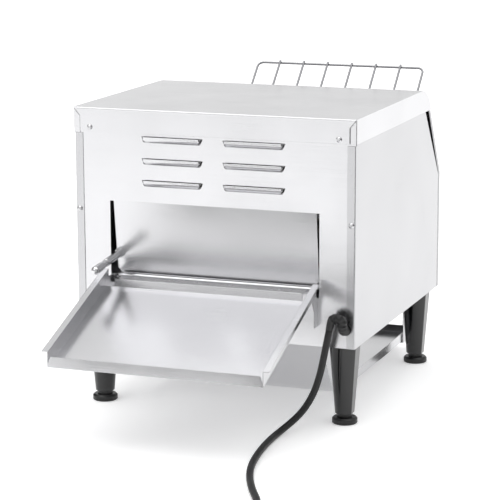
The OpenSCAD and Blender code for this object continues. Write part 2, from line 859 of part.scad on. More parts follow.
module motor_bracket() color(dark_steel) placed() {
    x = bracket_x;
    z = base_z + sheet;
    difference() {
        union() {
            block([x, -motor_y - 34, z], [x + bracket_t, -motor_y + 34, motor_z + 34]);
            block([x, -motor_y - 34, z], [x + 24, -motor_y + 34, z + bracket_t]);
        }
        bar_x(x - 1, x + bracket_t + 1, -motor_y, motor_z, 8);
    }
}

module gear_motor() color("dimgray") placed() {
    x = bracket_x + bracket_t;
    difference() {
        union() {
            block([x, -motor_y - 28, motor_z - 28], [x + 24, -motor_y + 28, motor_z + 28]);
            bar_x(x + 24, x + 56, -motor_y, motor_z, 24);
            bar_x(x + 56, x + 60, -motor_y, motor_z, 9);
            bar_x(x - bracket_t, x, -motor_y, motor_z, 8 - running);
        }
        bar_x(x - 3, x + 12, -motor_y, motor_z, shaft_d / 2 + running);
    }
}

module fan_housing() color(black) placed() translate([fan_x, fan_y, base_z + sheet]) {
    difference() {
        translate([-30, -30, 0]) cube([60, 60, 20]);
        translate([0, 0, 3]) cylinder(r = 28.5, h = 18, $fn = round_fn);
        difference() {
            translate([0, 0, -1]) cylinder(r = 27, h = 5, $fn = round_fn);
            translate([-28, -2, -2]) cube([56, 4, 7]);
            translate([-2, -28, -2]) cube([4, 56, 7]);
            translate([0, 0, -2]) cylinder(r = 11, h = 7, $fn = round_fn);
        }
    }
    cylinder(r = 1.5, h = 15, $fn = 24);
}

module fan_rotor() color(black) placed() translate([fan_x, fan_y, base_z + sheet + 3.6]) {
    difference() {
        union() {
            cylinder(r = 12, h = 14, $fn = round_fn);
            for (a = [0 : 51.5 : 308]) {
                rotate(a) translate([11, 0, 7]) rotate([35, 0, 0]) translate([0, -7, -0.7])
                    cube([15, 14, 1.4]);
            }
        }
        translate([0, 0, -1]) cylinder(r = 1.5 + running, h = 13, $fn = 24);
    }
}

// ---------------------------------------------------------------- electrics

module terminal_block() color("ivory") placed() {
    z = base_z + sheet;
    difference() {
        block([terminal_x - 9, -102, z], [terminal_x + 9, -64, z + 18]);
        for (i = [0 : 2]) {
            translate([terminal_x, -72 - i * 11, z + 9]) cylinder(r = 2.5, h = 12, $fn = 24);
            bar_x(terminal_x + 3, terminal_x + 10, -72 - i * 11, z + 6, 2);
        }
    }
}

terminal_x = -half_w + 13.5;

module control_board() color("darkgreen") placed() {
    x = wall_right_x + sheet;
    y = -body_d + 42;
    z = base_z + 33;
    block([x + 5, y, z], [x + 6.6, y + 76, z + 66]);
    for (p = [[6, 6], [70, 6], [6, 60], [70, 60]]) {
        bar_x(x, x + 5.2, y + p.x, z + p.y, 3);
    }
    block([x + 6, y + 8, z + 16], [x + 24, y + 30, z + 38]);
    block([x + 6, y + 40, z + 12], [x + 20, y + 58, z + 26]);
    bar_x(x + 6, x + 22, y + 53, z + 48, 7);
    bar_x(x + 6, x + 16, y + 20, z + 52, 5);
}

// Wires from the cord's gland to the terminals and on to the heat switch
module wiring_loom() color("firebrick") placed() {
    z = base_z + sheet + 21.5;
    r = 3;
    front = -body_d + 28;
    right = control_x + 25;
    bar_y(-60, -12, gland_x, gland_z, cord_d / 2);
    translate([gland_x, -60, gland_z]) sphere(r = cord_d / 2, $fn = 24);
    translate([gland_x, -60, gland_z]) rotate([0, 90, -50]) cylinder(r = cord_d / 2, h = 6, $fn = 24);
    bar_y(front, -60, terminal_x, z, r);
    translate([terminal_x, front, z]) sphere(r = r, $fn = 24);
    bar_x(terminal_x, right, front, z, r);
    translate([right, front, z]) sphere(r = r, $fn = 24);
    translate([right, front, z]) cylinder(r = r, h = heat_z - z, $fn = 24);
    translate([right, front, heat_z]) sphere(r = r, $fn = 24);
    bar_x(control_x + 18, right, front, heat_z, r);
}

// Threaded neck, clamped in the front panel, with the bore for a spindle
module control_neck(z, depth) {
    bar_y(-body_d - 3.5, -body_d + sheet + depth, control_x, z, control_bush_d / 2);
    difference() {
        bar_y(-body_d - 2.6, -body_d - seam, control_x, z, 7);
        bar_y(-body_d - 3, -body_d, control_x, z, control_bush_d / 2 - 0.1);
    }
}

module speed_control() color("dimgray") placed() difference() {
    union() {
        control_neck(speed_z, 2);
        bar_y(-body_d + sheet + seam, -body_d + 17, control_x, speed_z, 12);
    }
    bar_y(-body_d - 4, -body_d + 12, control_x, speed_z, spindle_d / 2 + running);
}

module heat_switch() color("dimgray") placed() difference() {
    union() {
        control_neck(heat_z, 2);
        block([control_x - 17, -body_d + sheet + seam, heat_z - 17],
            [control_x + 17, -body_d + 34, heat_z + 17]);
    }
    bar_y(-body_d - 4, -body_d + 12, control_x, heat_z, spindle_d / 2 + running);
}

module spindle(z) {
    bar_y(-body_d - 16, -body_d + 11.5, control_x, z, spindle_d / 2);
}

module speed_spindle() color("silver") placed() spindle(speed_z);

module heat_spindle() color("silver") placed() spindle(heat_z);

// Knob with a skirt, a grip bar and a blind hole for its spindle
module knob(z) {
    face = -body_d - 4.2;
    difference() {
        union() {
            bar_y(face - 4, face, control_x, z, knob_d / 2);
            translate([control_x, face - 14, z]) rotate([-90, 0, 0])
                cylinder(r1 = knob_d / 2 - 5, r2 = knob_d / 2 - 3, h = 11, $fn = round_fn);
            block([control_x - 3.2, face - 19, z - knob_d / 2 + 3],
                [control_x + 3.2, face - 3, z + knob_d / 2 - 1]);
        }
        bar_y(-body_d - 16.2, -body_d, control_x, z, spindle_d / 2);
    }
}

module speed_knob() color(black) placed() knob(speed_z);

module heat_knob() color(black) placed() knob(heat_z);

module power_switch() color(black) placed() difference() {
    union() {
        block([control_x - switch_w / 2, -body_d, power_z - switch_h / 2],
            [control_x + switch_w / 2, -body_d + 20, power_z + switch_h / 2]);
        block([control_x - switch_w / 2 - 2, -body_d - 2, power_z - switch_h / 2 - 2],
            [control_x + switch_w / 2 + 2, -body_d - 0.1, power_z + switch_h / 2 + 2]);
    }
    bar_x(control_x - switch_w / 2 + 2, control_x + switch_w / 2 - 2, rocker_y, power_z, rocker_r + seam);
    block([control_x - switch_w / 2 + 2, -body_d - 5, power_z - rocker_r - seam],
        [control_x + switch_w / 2 - 2, rocker_y, power_z + rocker_r + seam]);
    bar_x(control_x - switch_w / 2 - 1, control_x + switch_w / 2 + 1, rocker_y, power_z, 1.2 + running);
}

rocker_r = 8.8;
rocker_y = -body_d + 6;
rocker_tilt = 9;

// Rocker with a shallow V face that tips about its pin, drawn in the off position
module power_rocker() color(black) placed() translate([0, rocker_y, power_z]) rotate([rocker_tilt, 0, 0]) {
    w = switch_w / 2 - 2 - seam;
    along_x(control_x - w, control_x + w) {
        circle(r = rocker_r, $fn = round_fn);
        polygon([[0, -rocker_r], [-9.4, -6.6], [-8, 0], [-9.4, 6.6], [0, rocker_r]]);
    }
    bar_x(control_x - switch_w / 2 + 0.4, control_x + switch_w / 2 - 0.4, 0, 0, 1.2);
}

module pilot_lamps() color("orange") placed() for (s = [-1, 1]) {
    x = control_x + s * lamp_pitch / 2;
    bar_y(-body_d - 1.5, -body_d - 0.1, x, lamp_z, lamp_r + 1.5);
    bar_y(-body_d - 0.5, -body_d + 16, x, lamp_z, lamp_r);
    intersection() {
        translate([x, -body_d + 2.5, lamp_z]) sphere(r = 6, $fn = 32);
        bar_y(-body_d - 6, -body_d, x, lamp_z, lamp_r);
    }
}

// ---------------------------------------------------------------- feed rack

// Frame of bent wire with bars on it, laid on the slope
module wire_rack() color("silver") placed() translate([chamber_x, -rack_reach, rack_top])
    rotate([-rack_slope, 0, 0]) {
        half = rack_w / 2;
        r = wire_d / 2;
        for (s = [-1, 1]) {
            translate([s * half, rack_corner, 0]) rotate([-90, 0, 0])
                cylinder(r = r, h = rack_length - rack_corner, $fn = 24);
            translate([s * (half - rack_corner), rack_corner, 0]) rotate([0, 0, s > 0 ? -90 : 180])
                rotate_extrude(angle = 90, $fn = 96) translate([rack_corner, 0]) circle(r = r, $fn = 24);
        }
        for (y = [0, 84]) {
            translate([-half + (y > 0 ? 0 : rack_corner), y, 0]) rotate([0, 90, 0])
                cylinder(r = r, h = 2 * half - (y > 0 ? 0 : 2 * rack_corner), $fn = 24);
        }
        for (i = [0 : rack_bars - 1]) {
            translate([(i - (rack_bars - 1) / 2) * rack_pitch, -bar_tip, wire_d - weld]) rotate([-90, 0, 0])
                cylinder(r = r, h = rack_length + bar_tip, $fn = 24);
        }
    }

// ---------------------------------------------------------------- deflector

module deflector_plate() color(steel) placed() {
    w = deflector_w / 2;
    difference() {
        union() {
            along_x(-w, w) polygon([[-plate_top_y, plate_top_z], [-plate_bottom_y, plate_bottom_z - sheet],
                [-hinge_y, plate_bottom_z - sheet - 2.2], [-hinge_y, plate_bottom_z - 2.2],
                [-plate_bottom_y - sheet, plate_bottom_z], [-plate_top_y - sheet, plate_top_z]]);
            bar_x(-w, w, -hinge_y, hinge_z, barrel_r);
        }
        bar_x(-w - 1, w + 1, -hinge_y, hinge_z, hinge_d / 2 + running);
        for (s = [-1, 1]) {
            along_y(-plate_bottom_y - 2, 1) polygon([[s * (w - 6), plate_bottom_z - 2],
                [s * (w + 1), plate_bottom_z - 2], [s * (w + 1), plate_bottom_z + 6]]);
        }
        handle_axis() cylinder(r = 2.5, h = 12, center = true, $fn = 32);
    }
}

module deflector_rod() color("silver") placed()
    bar_x(wall_left_x - 3, drop_x + 3, -hinge_y, hinge_z, hinge_d / 2);

// Stands shapes on the deflector's face, with z along the handle
module handle_axis() {
    translate([handle_x, -handle_y, handle_z]) rotate([-90 - flap_tilt, 0, 0]) children();
}

// Turned handle: a sleeve, a slim neck with a ring, and a tapered grip with a rounded end
module deflector_handle() color("silver") placed() handle_axis() {
    r = handle_d / 2;
    sleeve_start = 8.1;
    neck_start = 0.56 * handle_l;
    grip_start = 0.7 * handle_l;
    translate([0, 0, -3]) cylinder(r = 2.5 - running, h = sleeve_start, $fn = 32);
    rotate_extrude($fn = 48) polygon([[0, sleeve_start - 4], [2.5 - running, sleeve_start - 4],
        [2.5 - running, sleeve_start], [r - 0.6, sleeve_start], [r, sleeve_start + 0.6],
        [r, neck_start - 0.6], [r - 0.6, neck_start], [r - 1.6, neck_start], [r - 1.9, neck_start + 4],
        [r - 0.5, neck_start + 4], [r - 0.5, neck_start + 6], [r - 1.9, neck_start + 6],
        [r - 1.6, grip_start], [r - 0.6, grip_start], [r + 0.2, grip_start + 1],
        for (i = [0 : 8]) [(r + 0.6) * cos(i * 90 / 8), handle_l - (r + 0.6) * (1 - sin(i * 90 / 8))]]);
}

// Washer and hex nut that clamp the handle to the flap
module handle_nut() color("silver") placed() handle_axis() difference() {
    union() {
        translate([0, 0, seam]) cylinder(r = 6.4, h = 1.2, $fn = 48);
        translate([0, 0, seam + 1.2]) cylinder(r = 5.9, h = 6, $fn = 6);
    }
    cylinder(r = 2.5, h = 20, $fn = 32);
}

// ---------------------------------------------------------------- trays

// Height of the rear tray's floor at a distance behind the rear face
function tray_floor(y) = tray_in_z - (y - tray_gap) * tan(tray_slope);
tray_in_z = sill_z - 8.6;
hook_z = sill_z + seam;

module rear_tray() color(steel) placed() {
    half = tray_w / 2;
    flange_y = 15;
    ear_z = base_z + 25;
    hook_x = half - 12;
    top = tray_wall;
    end_z = tray_floor(tray_reach);
    along_x(-half, half) polygon([[tray_gap, tray_in_z], [tray_gap, tray_in_z - sheet],
        [tray_reach, end_z - sheet], [tray_reach, end_z]]);
    for (s = [-1, 1]) {
        along_x(min(s * half, s * (half - sheet)), max(s * half, s * (half - sheet))) polygon([
            [tray_reach, end_z - sheet], [tray_reach, end_z + top],
            [flange_y, tray_floor(flange_y) + top], [flange_y, slot_z + 10], [-5.5, slot_z + 10],
            [-5.5, slot_z - 5], [-3.5, slot_z - 5], [-3.5, slot_z + seam], [seam, slot_z + seam],
            [seam, ear_z], [14, ear_z], [14, ear_z + 20], [tray_gap, tray_in_z - sheet]]);
        along_x(min(s * (half - sheet), s * (half - sheet + tray_flange)),
            max(s * (half - sheet), s * (half - sheet + tray_flange))) polygon([
            [tray_reach, end_z + top], [tray_reach, end_z + top - sheet],
            [flange_y, tray_floor(flange_y) + top - sheet], [flange_y, tray_floor(flange_y) + top]]);
    }
    along_y(tray_reach - sheet, tray_reach) polygon([[-half, end_z - sheet], [half, end_z - sheet],
        [half, end_z + 1], [half - 4.5, end_z + tray_lip - sheet],
        [-half + 4.5, end_z + tray_lip - sheet], [-half, end_z + 1]]);
    block([-hook_x, tray_gap - sheet, tray_in_z - sheet], [hook_x, tray_gap, hook_z + sheet]);
    block([-hook_x, -1.5, hook_z], [hook_x, tray_gap, hook_z + sheet]);
}

// Ramp of the front tray: the middle and radius of its bend, and where the bend ends
ramp_r = 60;
ramp_mid = [-97, front_tray_z + ramp_r];
ramp_foot = ramp_mid + ramp_r * [sin(ramp_slope), -cos(ramp_slope)];
function ramp_outer(z) = ramp_foot.x + (z - ramp_foot.y) / tan(ramp_slope);
function ramp_inner(z) = ramp_outer(z) - sheet / sin(ramp_slope);

module front_tray() color(steel) placed() {
    half = front_tray_w / 2;
    top = front_tray_z + front_tray_wall;
    ramp_z = base_z - seam;
    hook_under = base_z + sheet + seam;
    foot_in = ramp_mid + (ramp_r - sheet) * [sin(ramp_slope), -cos(ramp_slope)];
    along_x(-half, half) {
        translate([-front_tray_reach, front_tray_z]) square([front_tray_reach + ramp_mid.x, sheet]);
        intersection() {
            translate(ramp_mid) difference() {
                circle(r = ramp_r, $fn = 96);
                circle(r = ramp_r - sheet, $fn = 96);
            }
            polygon([ramp_mid, [ramp_mid.x, 0], [0, 0],
                ramp_mid + 2 * ramp_r * [sin(ramp_slope), -cos(ramp_slope)]]);
        }
        polygon([ramp_foot, [ramp_outer(ramp_z), ramp_z], [ramp_inner(ramp_z), ramp_z], foot_in]);
    }
    for (x = [-half, half - sheet]) {
        along_x(x, x + sheet) polygon([[-front_tray_reach, front_tray_z], [-front_tray_reach, top],
            [-112, top], [-100, front_tray_z + sheet], [-100, front_tray_z]]);
    }
    block([-half, -front_tray_reach, front_tray_z], [half, -front_tray_reach + sheet, top - 1]);
    for (s = [-1, 1]) {
        along_x(s * 60 - 20, s * 60 + 20) polygon([[ramp_outer(hook_under - 6), hook_under - 6],
            [ramp_outer(hook_under), hook_under], [-3.5, hook_under], [-3.5, hook_under + sheet],
            [ramp_inner(hook_under + sheet), hook_under + sheet],
            [ramp_inner(hook_under - 6), hook_under - 6]]);
    }
}

// Hangers that carry the front tray under the base pan
module tray_hangers() color(steel) placed() {
    half = front_tray_w / 2 + 1;
    front = -body_d + 2;
    rear = front + 12;
    for (s = [-1, 1]) {
        block([min(s * half, s * (half + sheet)), front, front_tray_z - seam - sheet],
            [max(s * half, s * (half + sheet)), rear, base_z - seam]);
        block([min(s * (half - 10), s * (half + sheet)), front, front_tray_z - seam - sheet],
            [max(s * (half - 10), s * (half + sheet)), rear, front_tray_z - seam]);
        block([min(s * (half - 12), s * (half + sheet)), front, base_z - seam - sheet],
            [max(s * (half - 12), s * (half + sheet)), rear, base_z - seam]);
    }
}

// ---------------------------------------------------------------- legs

// Tapered leg with a flat towards the outside and a bore for its foot
module leg(i) color(black) placed() translate([leg_places[i].x, leg_places[i].y, 0]) {
    s = sign(leg_places[i].x);
    height = base_z - leg_bottom_z;
    lean = atan((leg_top_d - leg_bottom_d) / 2 * leg_flat / height);
    difference() {
        translate([0, 0, leg_bottom_z])
            cylinder(d1 = leg_bottom_d, d2 = leg_top_d, h = height, $fn = round_fn);
        translate([s * leg_bottom_d / 2 * leg_flat, 0, leg_bottom_z - 1]) rotate([0, s * lean, 0])
            translate([s > 0 ? 0 : -20, -30, -5]) cube([20, 60, height + 20]);
        cylinder(r = stud_r + running, h = stud_top_z + 1, $fn = round_fn);
        translate([0, 0, base_z - 20]) cylinder(r = leg_bolt_r + running, h = 21, $fn = round_fn);
    }
}

module foot(i) color(black) placed() translate([leg_places[i].x, leg_places[i].y, 0]) {
    rotate_extrude($fn = round_fn) polygon([[0, 0], [foot_d / 2 - 1, 0], [foot_d / 2, 1],
        [foot_d / 2, foot_h - 2], [foot_d / 2 - 2, foot_h], [leg_bottom_d / 2 - 2.8, foot_h],
        [leg_bottom_d / 2 - 2.8, leg_bottom_z - seam], [stud_r, leg_bottom_z - seam],
        [stud_r, stud_top_z], [0, stud_top_z]]);
}

module rear_right_leg() leg(0);

module rear_left_leg() leg(1);

module front_right_leg() leg(2);

module front_left_leg() leg(3);

module rear_right_foot() foot(0);

module rear_left_foot() foot(1);

module front_right_foot() foot(2);

module front_left_foot() foot(3);

// ---------------------------------------------------------------- fasteners

// Pan-head screw with a cross recess, its head against the plane at y
module pan_screw(x, y, z, length) {
    difference() {
        union() {
            intersection() {
                bar_y(y, y + 2.3, x, z, 3.5);
                translate([x, y - 2.2, z]) sphere(r = 4.5, $fn = 48);
            }
            bar_y(y - length, y + 0.1, x, z, screw_r);
        }
        for (a = [45, 135]) {
            translate([x, y + 2.2, z]) rotate([0, a, 0]) cube([3.6, 1.8, 0.8], center = true);
        }
    }
}

module case_screws() color("silver") placed() {
    for (s = [-1, 1]) {
        pan_screw(s * cover_screw_x, cover_rear_y, cover_screw_z, 9);
        pan_screw(s * side_screw_x, sheet, side_screw_z, 8);
    }
    for (p = leg_places) {
        translate([p.x, p.y, base_z + sheet]) cylinder(r = 5.5, h = 4, $fn = 6);
        translate([p.x, p.y, base_z - 18]) cylinder(r = leg_bolt_r, h = 18 + sheet, $fn = round_fn);
    }
}

// ---------------------------------------------------------------- cord

// Middle line of the strain relief: out of the panel, a bend upwards, an arch over and a short end
elbow_rise = [for (a = [10 : 10 : 90]) a];
elbow_arch = [for (a = [12 : 12 : arch_angle]) a];
elbow_end = [arch_r * (1 - cos(arch_angle)), elbow_out + elbow_bend, elbow_bend + arch_r * sin(arch_angle)];
elbow_heading = [sin(arch_angle), 0, cos(arch_angle)];
elbow_points = concat([for (y = [0.05, 3, 3.1, elbow_out]) [0, y, 0]],
    [for (a = elbow_rise) [0, elbow_out + elbow_bend * sin(a), elbow_bend * (1 - cos(a))]],
    [for (a = elbow_arch) [arch_r * (1 - cos(a)), elbow_out + elbow_bend, elbow_bend + arch_r * sin(a)]],
    [elbow_end + elbow_heading * elbow_taper]);
elbow_tangents = concat([for (i = [0 : 3]) [0, 1, 0]], [for (a = elbow_rise) [0, cos(a), sin(a)]],
    [for (a = elbow_arch) [sin(a), 0, cos(a)]], [elbow_heading]);
// The flange comes first, then ribs and grooves take turns up to the tapered end
elbow_radii = [for (i = [0 : len(elbow_points) - 1]) i < 2 ? gland_flange_r - 0.3
    : i > len(elbow_points) - 4 ? cord_d / 2 + 0.3 * (len(elbow_points) - i)
    : elbow_d / 2 + 0.8 * (i % 2)];

// Strain relief: a flange and a nut at the panel, and a ribbed elbow that turns the cord down
module cable_gland() color(black) placed() {
    bar_y(-12, 0.5, gland_x, gland_z, gland_hole_r - running);
    bar_y(-7, -sheet - 0.1, gland_x, gland_z, 8);
    translate([gland_x, 0, gland_z]) tube(elbow_points, elbow_tangents, [1, -1, 1], elbow_radii, 20);
}

// Keeps the cord's start in the strain relief
module cord_placed() {
    exit = elbow_end + elbow_heading * elbow_taper;
    placed() translate([gland_x + exit.x - route[0].x, 0, 0]) children();
}

function route_tangent(i) = unit(route[min(i + 1, len(route) - 1)] - route[max(i - 1, 0)]);

module cord_run() color(black) cord_placed() {
    n = len(route);
    tangents = [for (i = [0 : n - 1]) i == 0 ? elbow_heading : i == n - 1 ? coil_heading : route_tangent(i)];
    tube(route, tangents, [1, 0, 0], cord_d / 2, run_sides);
}

// Coil: it starts where the route ends, turning to the right, spirals in on the table,
// climbs a layer in half a turn and spirals out again on top
coil_start_angle = 180;
coil_turns = 3 + 98 / 360;
coil_heading = [sin(coil_start_angle), -cos(coil_start_angle), 0];
coil_floor = 4.4;
coil_steps = 24;
coil_centre = let (e = route[len(route) - 1])
    [e.x - coil_r * cos(coil_start_angle), e.y - coil_r * sin(coil_start_angle), 0];
function coil_depth(t) = min(t, coil_turns - t);
function coil_rise(t) = let (s = (t - coil_turns / 2 + 0.25) / 0.5, c = min(max(s, 0), 1))
    c * c * (3 - 2 * c);
function coil_point(t) = let (a = coil_start_angle - 360 * t, r = coil_r - coil_pitch * coil_depth(t))
    coil_centre + [r * cos(a), r * sin(a), coil_floor + coil_layer * coil_rise(t)];
coil_count = ceil(coil_turns * coil_steps);
coil_times = [for (i = [0 : coil_count]) i * coil_turns / coil_count];
coil_end = coil_point(coil_turns);
coil_end_angle = coil_start_angle - 360 * coil_turns;
tail_heading = [sin(coil_end_angle), -cos(coil_end_angle), 0];
tail = 44;
plug_axis_z = 17;
function tail_point(u) = coil_end + tail_heading * u
    + [0, 0, (plug_axis_z - coil_end.z) * (u / tail) * (u / tail) * (3 - 2 * u / tail)];
plug_start = tail_point(tail);
coil_path = concat([route[len(route) - 1], route[len(route) - 1] + coil_heading * 0.01],
    [for (i = [1 : coil_count]) coil_point(coil_times[i])], [for (u = [11, 22, 33, 44]) tail_point(u)]);
coil_points = [for (i = [0 : len(coil_path) - 1]) if (i != 1) coil_path[i]];
coil_tangents = [for (i = [0 : len(coil_points) - 1]) i == 0 ? coil_heading
    : i == len(coil_points) - 1 ? tail_heading : unit(coil_points[i + 1] - coil_points[i - 1])];

// Least gap between two turns of the coil, measured between points a third of a turn apart or more
apart = ceil(coil_steps / 3);
coil_gap = min([for (i = [0 : len(coil_points) - 1]) for (j = [i + apart : len(coil_points) - 1])
    if (j < len(coil_points)) norm(coil_points[i] - coil_points[j])]) - cord_d;

module cord_coil() color(black) cord_placed() {
    echo(coil_gap = coil_gap);
    tube(coil_points, coil_tangents, [0, 0, 1], cord_d / 2, 6);
}

// Two-pin earthed plug lying on its rim
module plug() color(black) cord_placed() translate(plug_start)
    rotate([0, 0, atan2(tail_heading.y, tail_heading.x)]) rotate([0, 90, 0]) difference() {
        union() {
            cylinder(r1 = cord_d / 2 + 1, r2 = 7, h = 16, $fn = 48);
            translate([0, 0, 16]) cylinder(r1 = 9, r2 = plug_axis_z, h = 12, $fn = 48);
            translate([0, 0, 28]) cylinder(r = plug_axis_z, h = 16, $fn = 64);
            for (s = [-1, 1]) {
                translate([0, s * 9.5, 40]) cylinder(r = 2.4, h = 23, $fn = 32);
            }
        }
        for (s = [-1, 1]) {
            translate([s * (plug_axis_z - 1), 0, 36]) cube([4, 6, 17], center = true);
        }
        translate([3, 0, 34]) cylinder(r = 2.5, h = 12, $fn = 32);
    }

base_pan();
rear_panel();
left_side_panel();
right_side_panel();
top_cover();
front_panel();
left_inner_wall();
right_inner_wall();
upper_reflector();
lower_reflector();
crumb_plate();
infeed_chute();
heater_tubes();
heater_caps();
conveyor_belt();
rear_shaft();
front_shaft();
rear_wheels();
front_wheels();
shaft_bushes();
driven_sprocket();
motor_sprocket();
drive_chain();
gear_motor();
motor_bracket();
fan_housing();
fan_rotor();
terminal_block();
control_board();
wiring_loom();
speed_control();
heat_switch();
speed_spindle();
heat_spindle();
speed_knob();
heat_knob();
power_switch();
power_rocker();
pilot_lamps();
wire_rack();
deflector_plate();
deflector_rod();
deflector_handle();
handle_nut();
rear_tray();
front_tray();
tray_hangers();
rear_left_leg();
rear_right_leg();
front_left_leg();
front_right_leg();
rear_left_foot();
rear_right_foot();
front_left_foot();
front_right_foot();
case_screws();
cable_gland();
cord_run();
cord_coil();
plug();
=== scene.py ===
"""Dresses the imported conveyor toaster: camera, cord, finishes, fine detail and studio.

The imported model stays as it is. Its nodes get finishes, the soft cord is replaced by a
smooth one with its tie and plug, and small pieces that need no solid are added: the dial
marks, the pointers, the belt's wire links and the heater tubes' collars. Sizes and places
are in millimetres as in the source of the part, with the machine's rear face at y = 0.
"""

import logging
import math
from dataclasses import dataclass, field
from enum import Enum
from typing import Iterable, Optional, Protocol, Sequence

import bmesh
import bpy
from mathutils import Matrix, Vector

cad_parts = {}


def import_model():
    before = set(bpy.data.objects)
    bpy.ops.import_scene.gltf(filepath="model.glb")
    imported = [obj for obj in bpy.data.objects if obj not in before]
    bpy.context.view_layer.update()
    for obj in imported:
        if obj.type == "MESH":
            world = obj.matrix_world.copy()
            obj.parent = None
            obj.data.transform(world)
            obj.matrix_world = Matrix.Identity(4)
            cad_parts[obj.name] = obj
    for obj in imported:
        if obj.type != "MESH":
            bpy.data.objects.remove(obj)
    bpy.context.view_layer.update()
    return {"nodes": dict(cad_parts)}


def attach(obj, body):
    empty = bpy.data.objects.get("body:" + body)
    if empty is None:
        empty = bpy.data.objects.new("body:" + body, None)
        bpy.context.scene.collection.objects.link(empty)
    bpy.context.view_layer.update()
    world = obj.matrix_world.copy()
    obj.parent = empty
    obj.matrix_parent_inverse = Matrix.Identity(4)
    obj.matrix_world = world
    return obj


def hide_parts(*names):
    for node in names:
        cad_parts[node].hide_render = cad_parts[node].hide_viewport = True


LOG = logging.getLogger("conveyor_toaster")

MM = 0.001              # metres in a millimetre
REAR_FACE_Y = 114.45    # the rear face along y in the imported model, in millimetres
MACHINE = "machine"     # the body that stands still
UP = Vector((0, 0, 1))

Pair = tuple[float, float]
Triple = tuple[float, float, float]
Colour = tuple[float, float, float, float]
WHITE: Colour = (1.0, 1.0, 1.0, 1.0)


def at(x: float, y: float, z: float) -> Vector:
    """Turns a place in millimetres, counted from the rear face, into the scene's metres.

    Args:
        x: Distance to the right of the middle, seen from the operator's side.
        y: Distance behind the rear face.
        z: Height above the table.

    Returns:
        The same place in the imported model's frame, in metres.
    """
    return Vector((x, y + REAR_FACE_Y, z)) * MM


def metres(values: Sequence[float]) -> tuple[float, ...]:
    """Turns lengths in millimetres into metres."""
    return tuple(value * MM for value in values)


def ease(part: float) -> float:
    """Turns an even run from 0 to 1 into one that starts and ends softly."""
    return part * part * (3 - 2 * part)


def standing(place: Vector, x: Vector, y: Vector, z: Vector) -> Matrix:
    """Makes the matrix of a thing that stands at a place with the given axes.

    Args:
        place: Its origin, in metres.
        x: Direction of its own x axis.
        y: Direction of its own y axis.
        z: Direction of its own z axis.

    Returns:
        The matrix.
    """
    return Matrix.Translation(place) @ Matrix((x, y, z)).transposed().to_4x4()


# ---------------------------------------------------------------- node trees


def linear(hex_colour: str, shade: float = 1.0) -> Colour:
    """Converts a screen colour such as "#d8d8da" to linear light with full alpha.

    Args:
        hex_colour: Six hexadecimal digits after a hash sign.
        shade: What is left of the light.

    Returns:
        Red, green, blue and alpha for a colour socket.
    """
    channels = [int(hex_colour[i:i + 2], 16) / 255 for i in (1, 3, 5)]
    light = [c / 12.92 if c <= 0.04045 else ((c + 0.055) / 1.055) ** 2.4 for c in channels]
    return (light[0] * shade, light[1] * shade, light[2] * shade, 1.0)


class NodeTree:
    """The nodes of a material or a world, with one short way to add and join them."""

    def __init__(self, owner: bpy.types.ID) -> None:
        """Empties the owner's tree.

        Args:
            owner: The material or the world.
        """
        owner.use_nodes = True
        self.nodes = owner.node_tree.nodes
        self.links = owner.node_tree.links
        self.nodes.clear()

    def add(self, kind: str, inputs: Optional[dict] = None, steps: Sequence[Pair] = (),
            **settings: object) -> bpy.types.Node:
        """Adds one node, sets it up and joins its inputs.

        Args:
            kind: The node's type without the ShaderNode prefix.
            inputs: Input names or numbers, each with what fills it.
            steps: Position and grey level of each step, for a node with a colour ramp.
            **settings: Attributes of the node.

        Returns:
            The new node.
        """
        node = self.nodes.new("ShaderNode" + kind)
        for key, value in settings.items():
            setattr(node, key, value)
        for key, value in (inputs or {}).items():
            self.set(node.inputs[key], value)
        for _ in steps[2:]:
            node.color_ramp.elements.new(0.5)
        for number, (position, level) in enumerate(steps):
            node.color_ramp.elements[number].position = position
            node.color_ramp.elements[number].color = (level, level, level, 1)
        return node

    def set(self, socket: bpy.types.NodeSocket, value: object) -> None:
        """Joins a socket to another, or gives it a plain value.

        Args:
            socket: The input to fill.
            value: A number, a colour, a vector, an output socket, or a node whose first
                output is joined.
        """
        if isinstance(value, bpy.types.Node):
            value = value.outputs[0]
        if isinstance(value, bpy.types.NodeSocket):
            self.links.new(value, socket)
        else:
            socket.default_value = value


class ShaderTree(NodeTree):
    """A new material's nodes, round one Principled shader."""

    def __init__(self, name: str) -> None:
        """Creates the material with a Principled shader on its output.

        Args:
            name: The material's name.
        """
        self.material = bpy.data.materials.new(name)
        super().__init__(self.material)
        self.shader = self.add("BsdfPrincipled")
        self.add("OutputMaterial", {"Surface": self.shader.outputs["BSDF"]})

    def principled(self, **inputs: object) -> bpy.types.Material:
        """Fills the Principled shader's inputs, with underscores in place of spaces.

        Args:
            **inputs: Input names, each with what fills it.

        Returns:
            The finished material.
        """
        for key, value in inputs.items():
            self.set(self.shader.inputs[key.replace("_", " ")], value)
        return self.material

    def noise(self, cell: Triple, detail: float) -> bpy.types.Node:
        """Draws noise with its own cell size along each axis.

        Args:
            cell: Size of one cell along x, y and z, in millimetres.
            detail: Octaves of the noise.

        Returns:
            The noise, whose first output is its value.
        """
        repeats = tuple(1 / (size * MM) for size in cell)
        place = self.add("TexCoord").outputs["Object"]
        mapped = self.add("Mapping", {"Vector": place, "Scale": repeats})
        return self.add("TexNoise", {"Vector": mapped, "Scale": 1.0, "Detail": detail})

    def relief(self, height: bpy.types.Node, depth: float, strength: float,
               edge: float) -> bpy.types.Node:
        """Presses a pattern into the surface, on top of softly rounded edges.

        Args:
            height: The pattern, 0 to 1.
            depth: Its depth in millimetres.
            strength: How much of it shows.
            edge: Radius of the rounded edges in millimetres.

        Returns:
            The relief, whose first output is the normal.
        """
        rounded = self.add("Bevel", {"Radius": edge * MM}, samples=4)
        return self.add("Bump", {"Height": height, "Distance": depth * MM, "Strength": strength,
                                 "Normal": rounded})


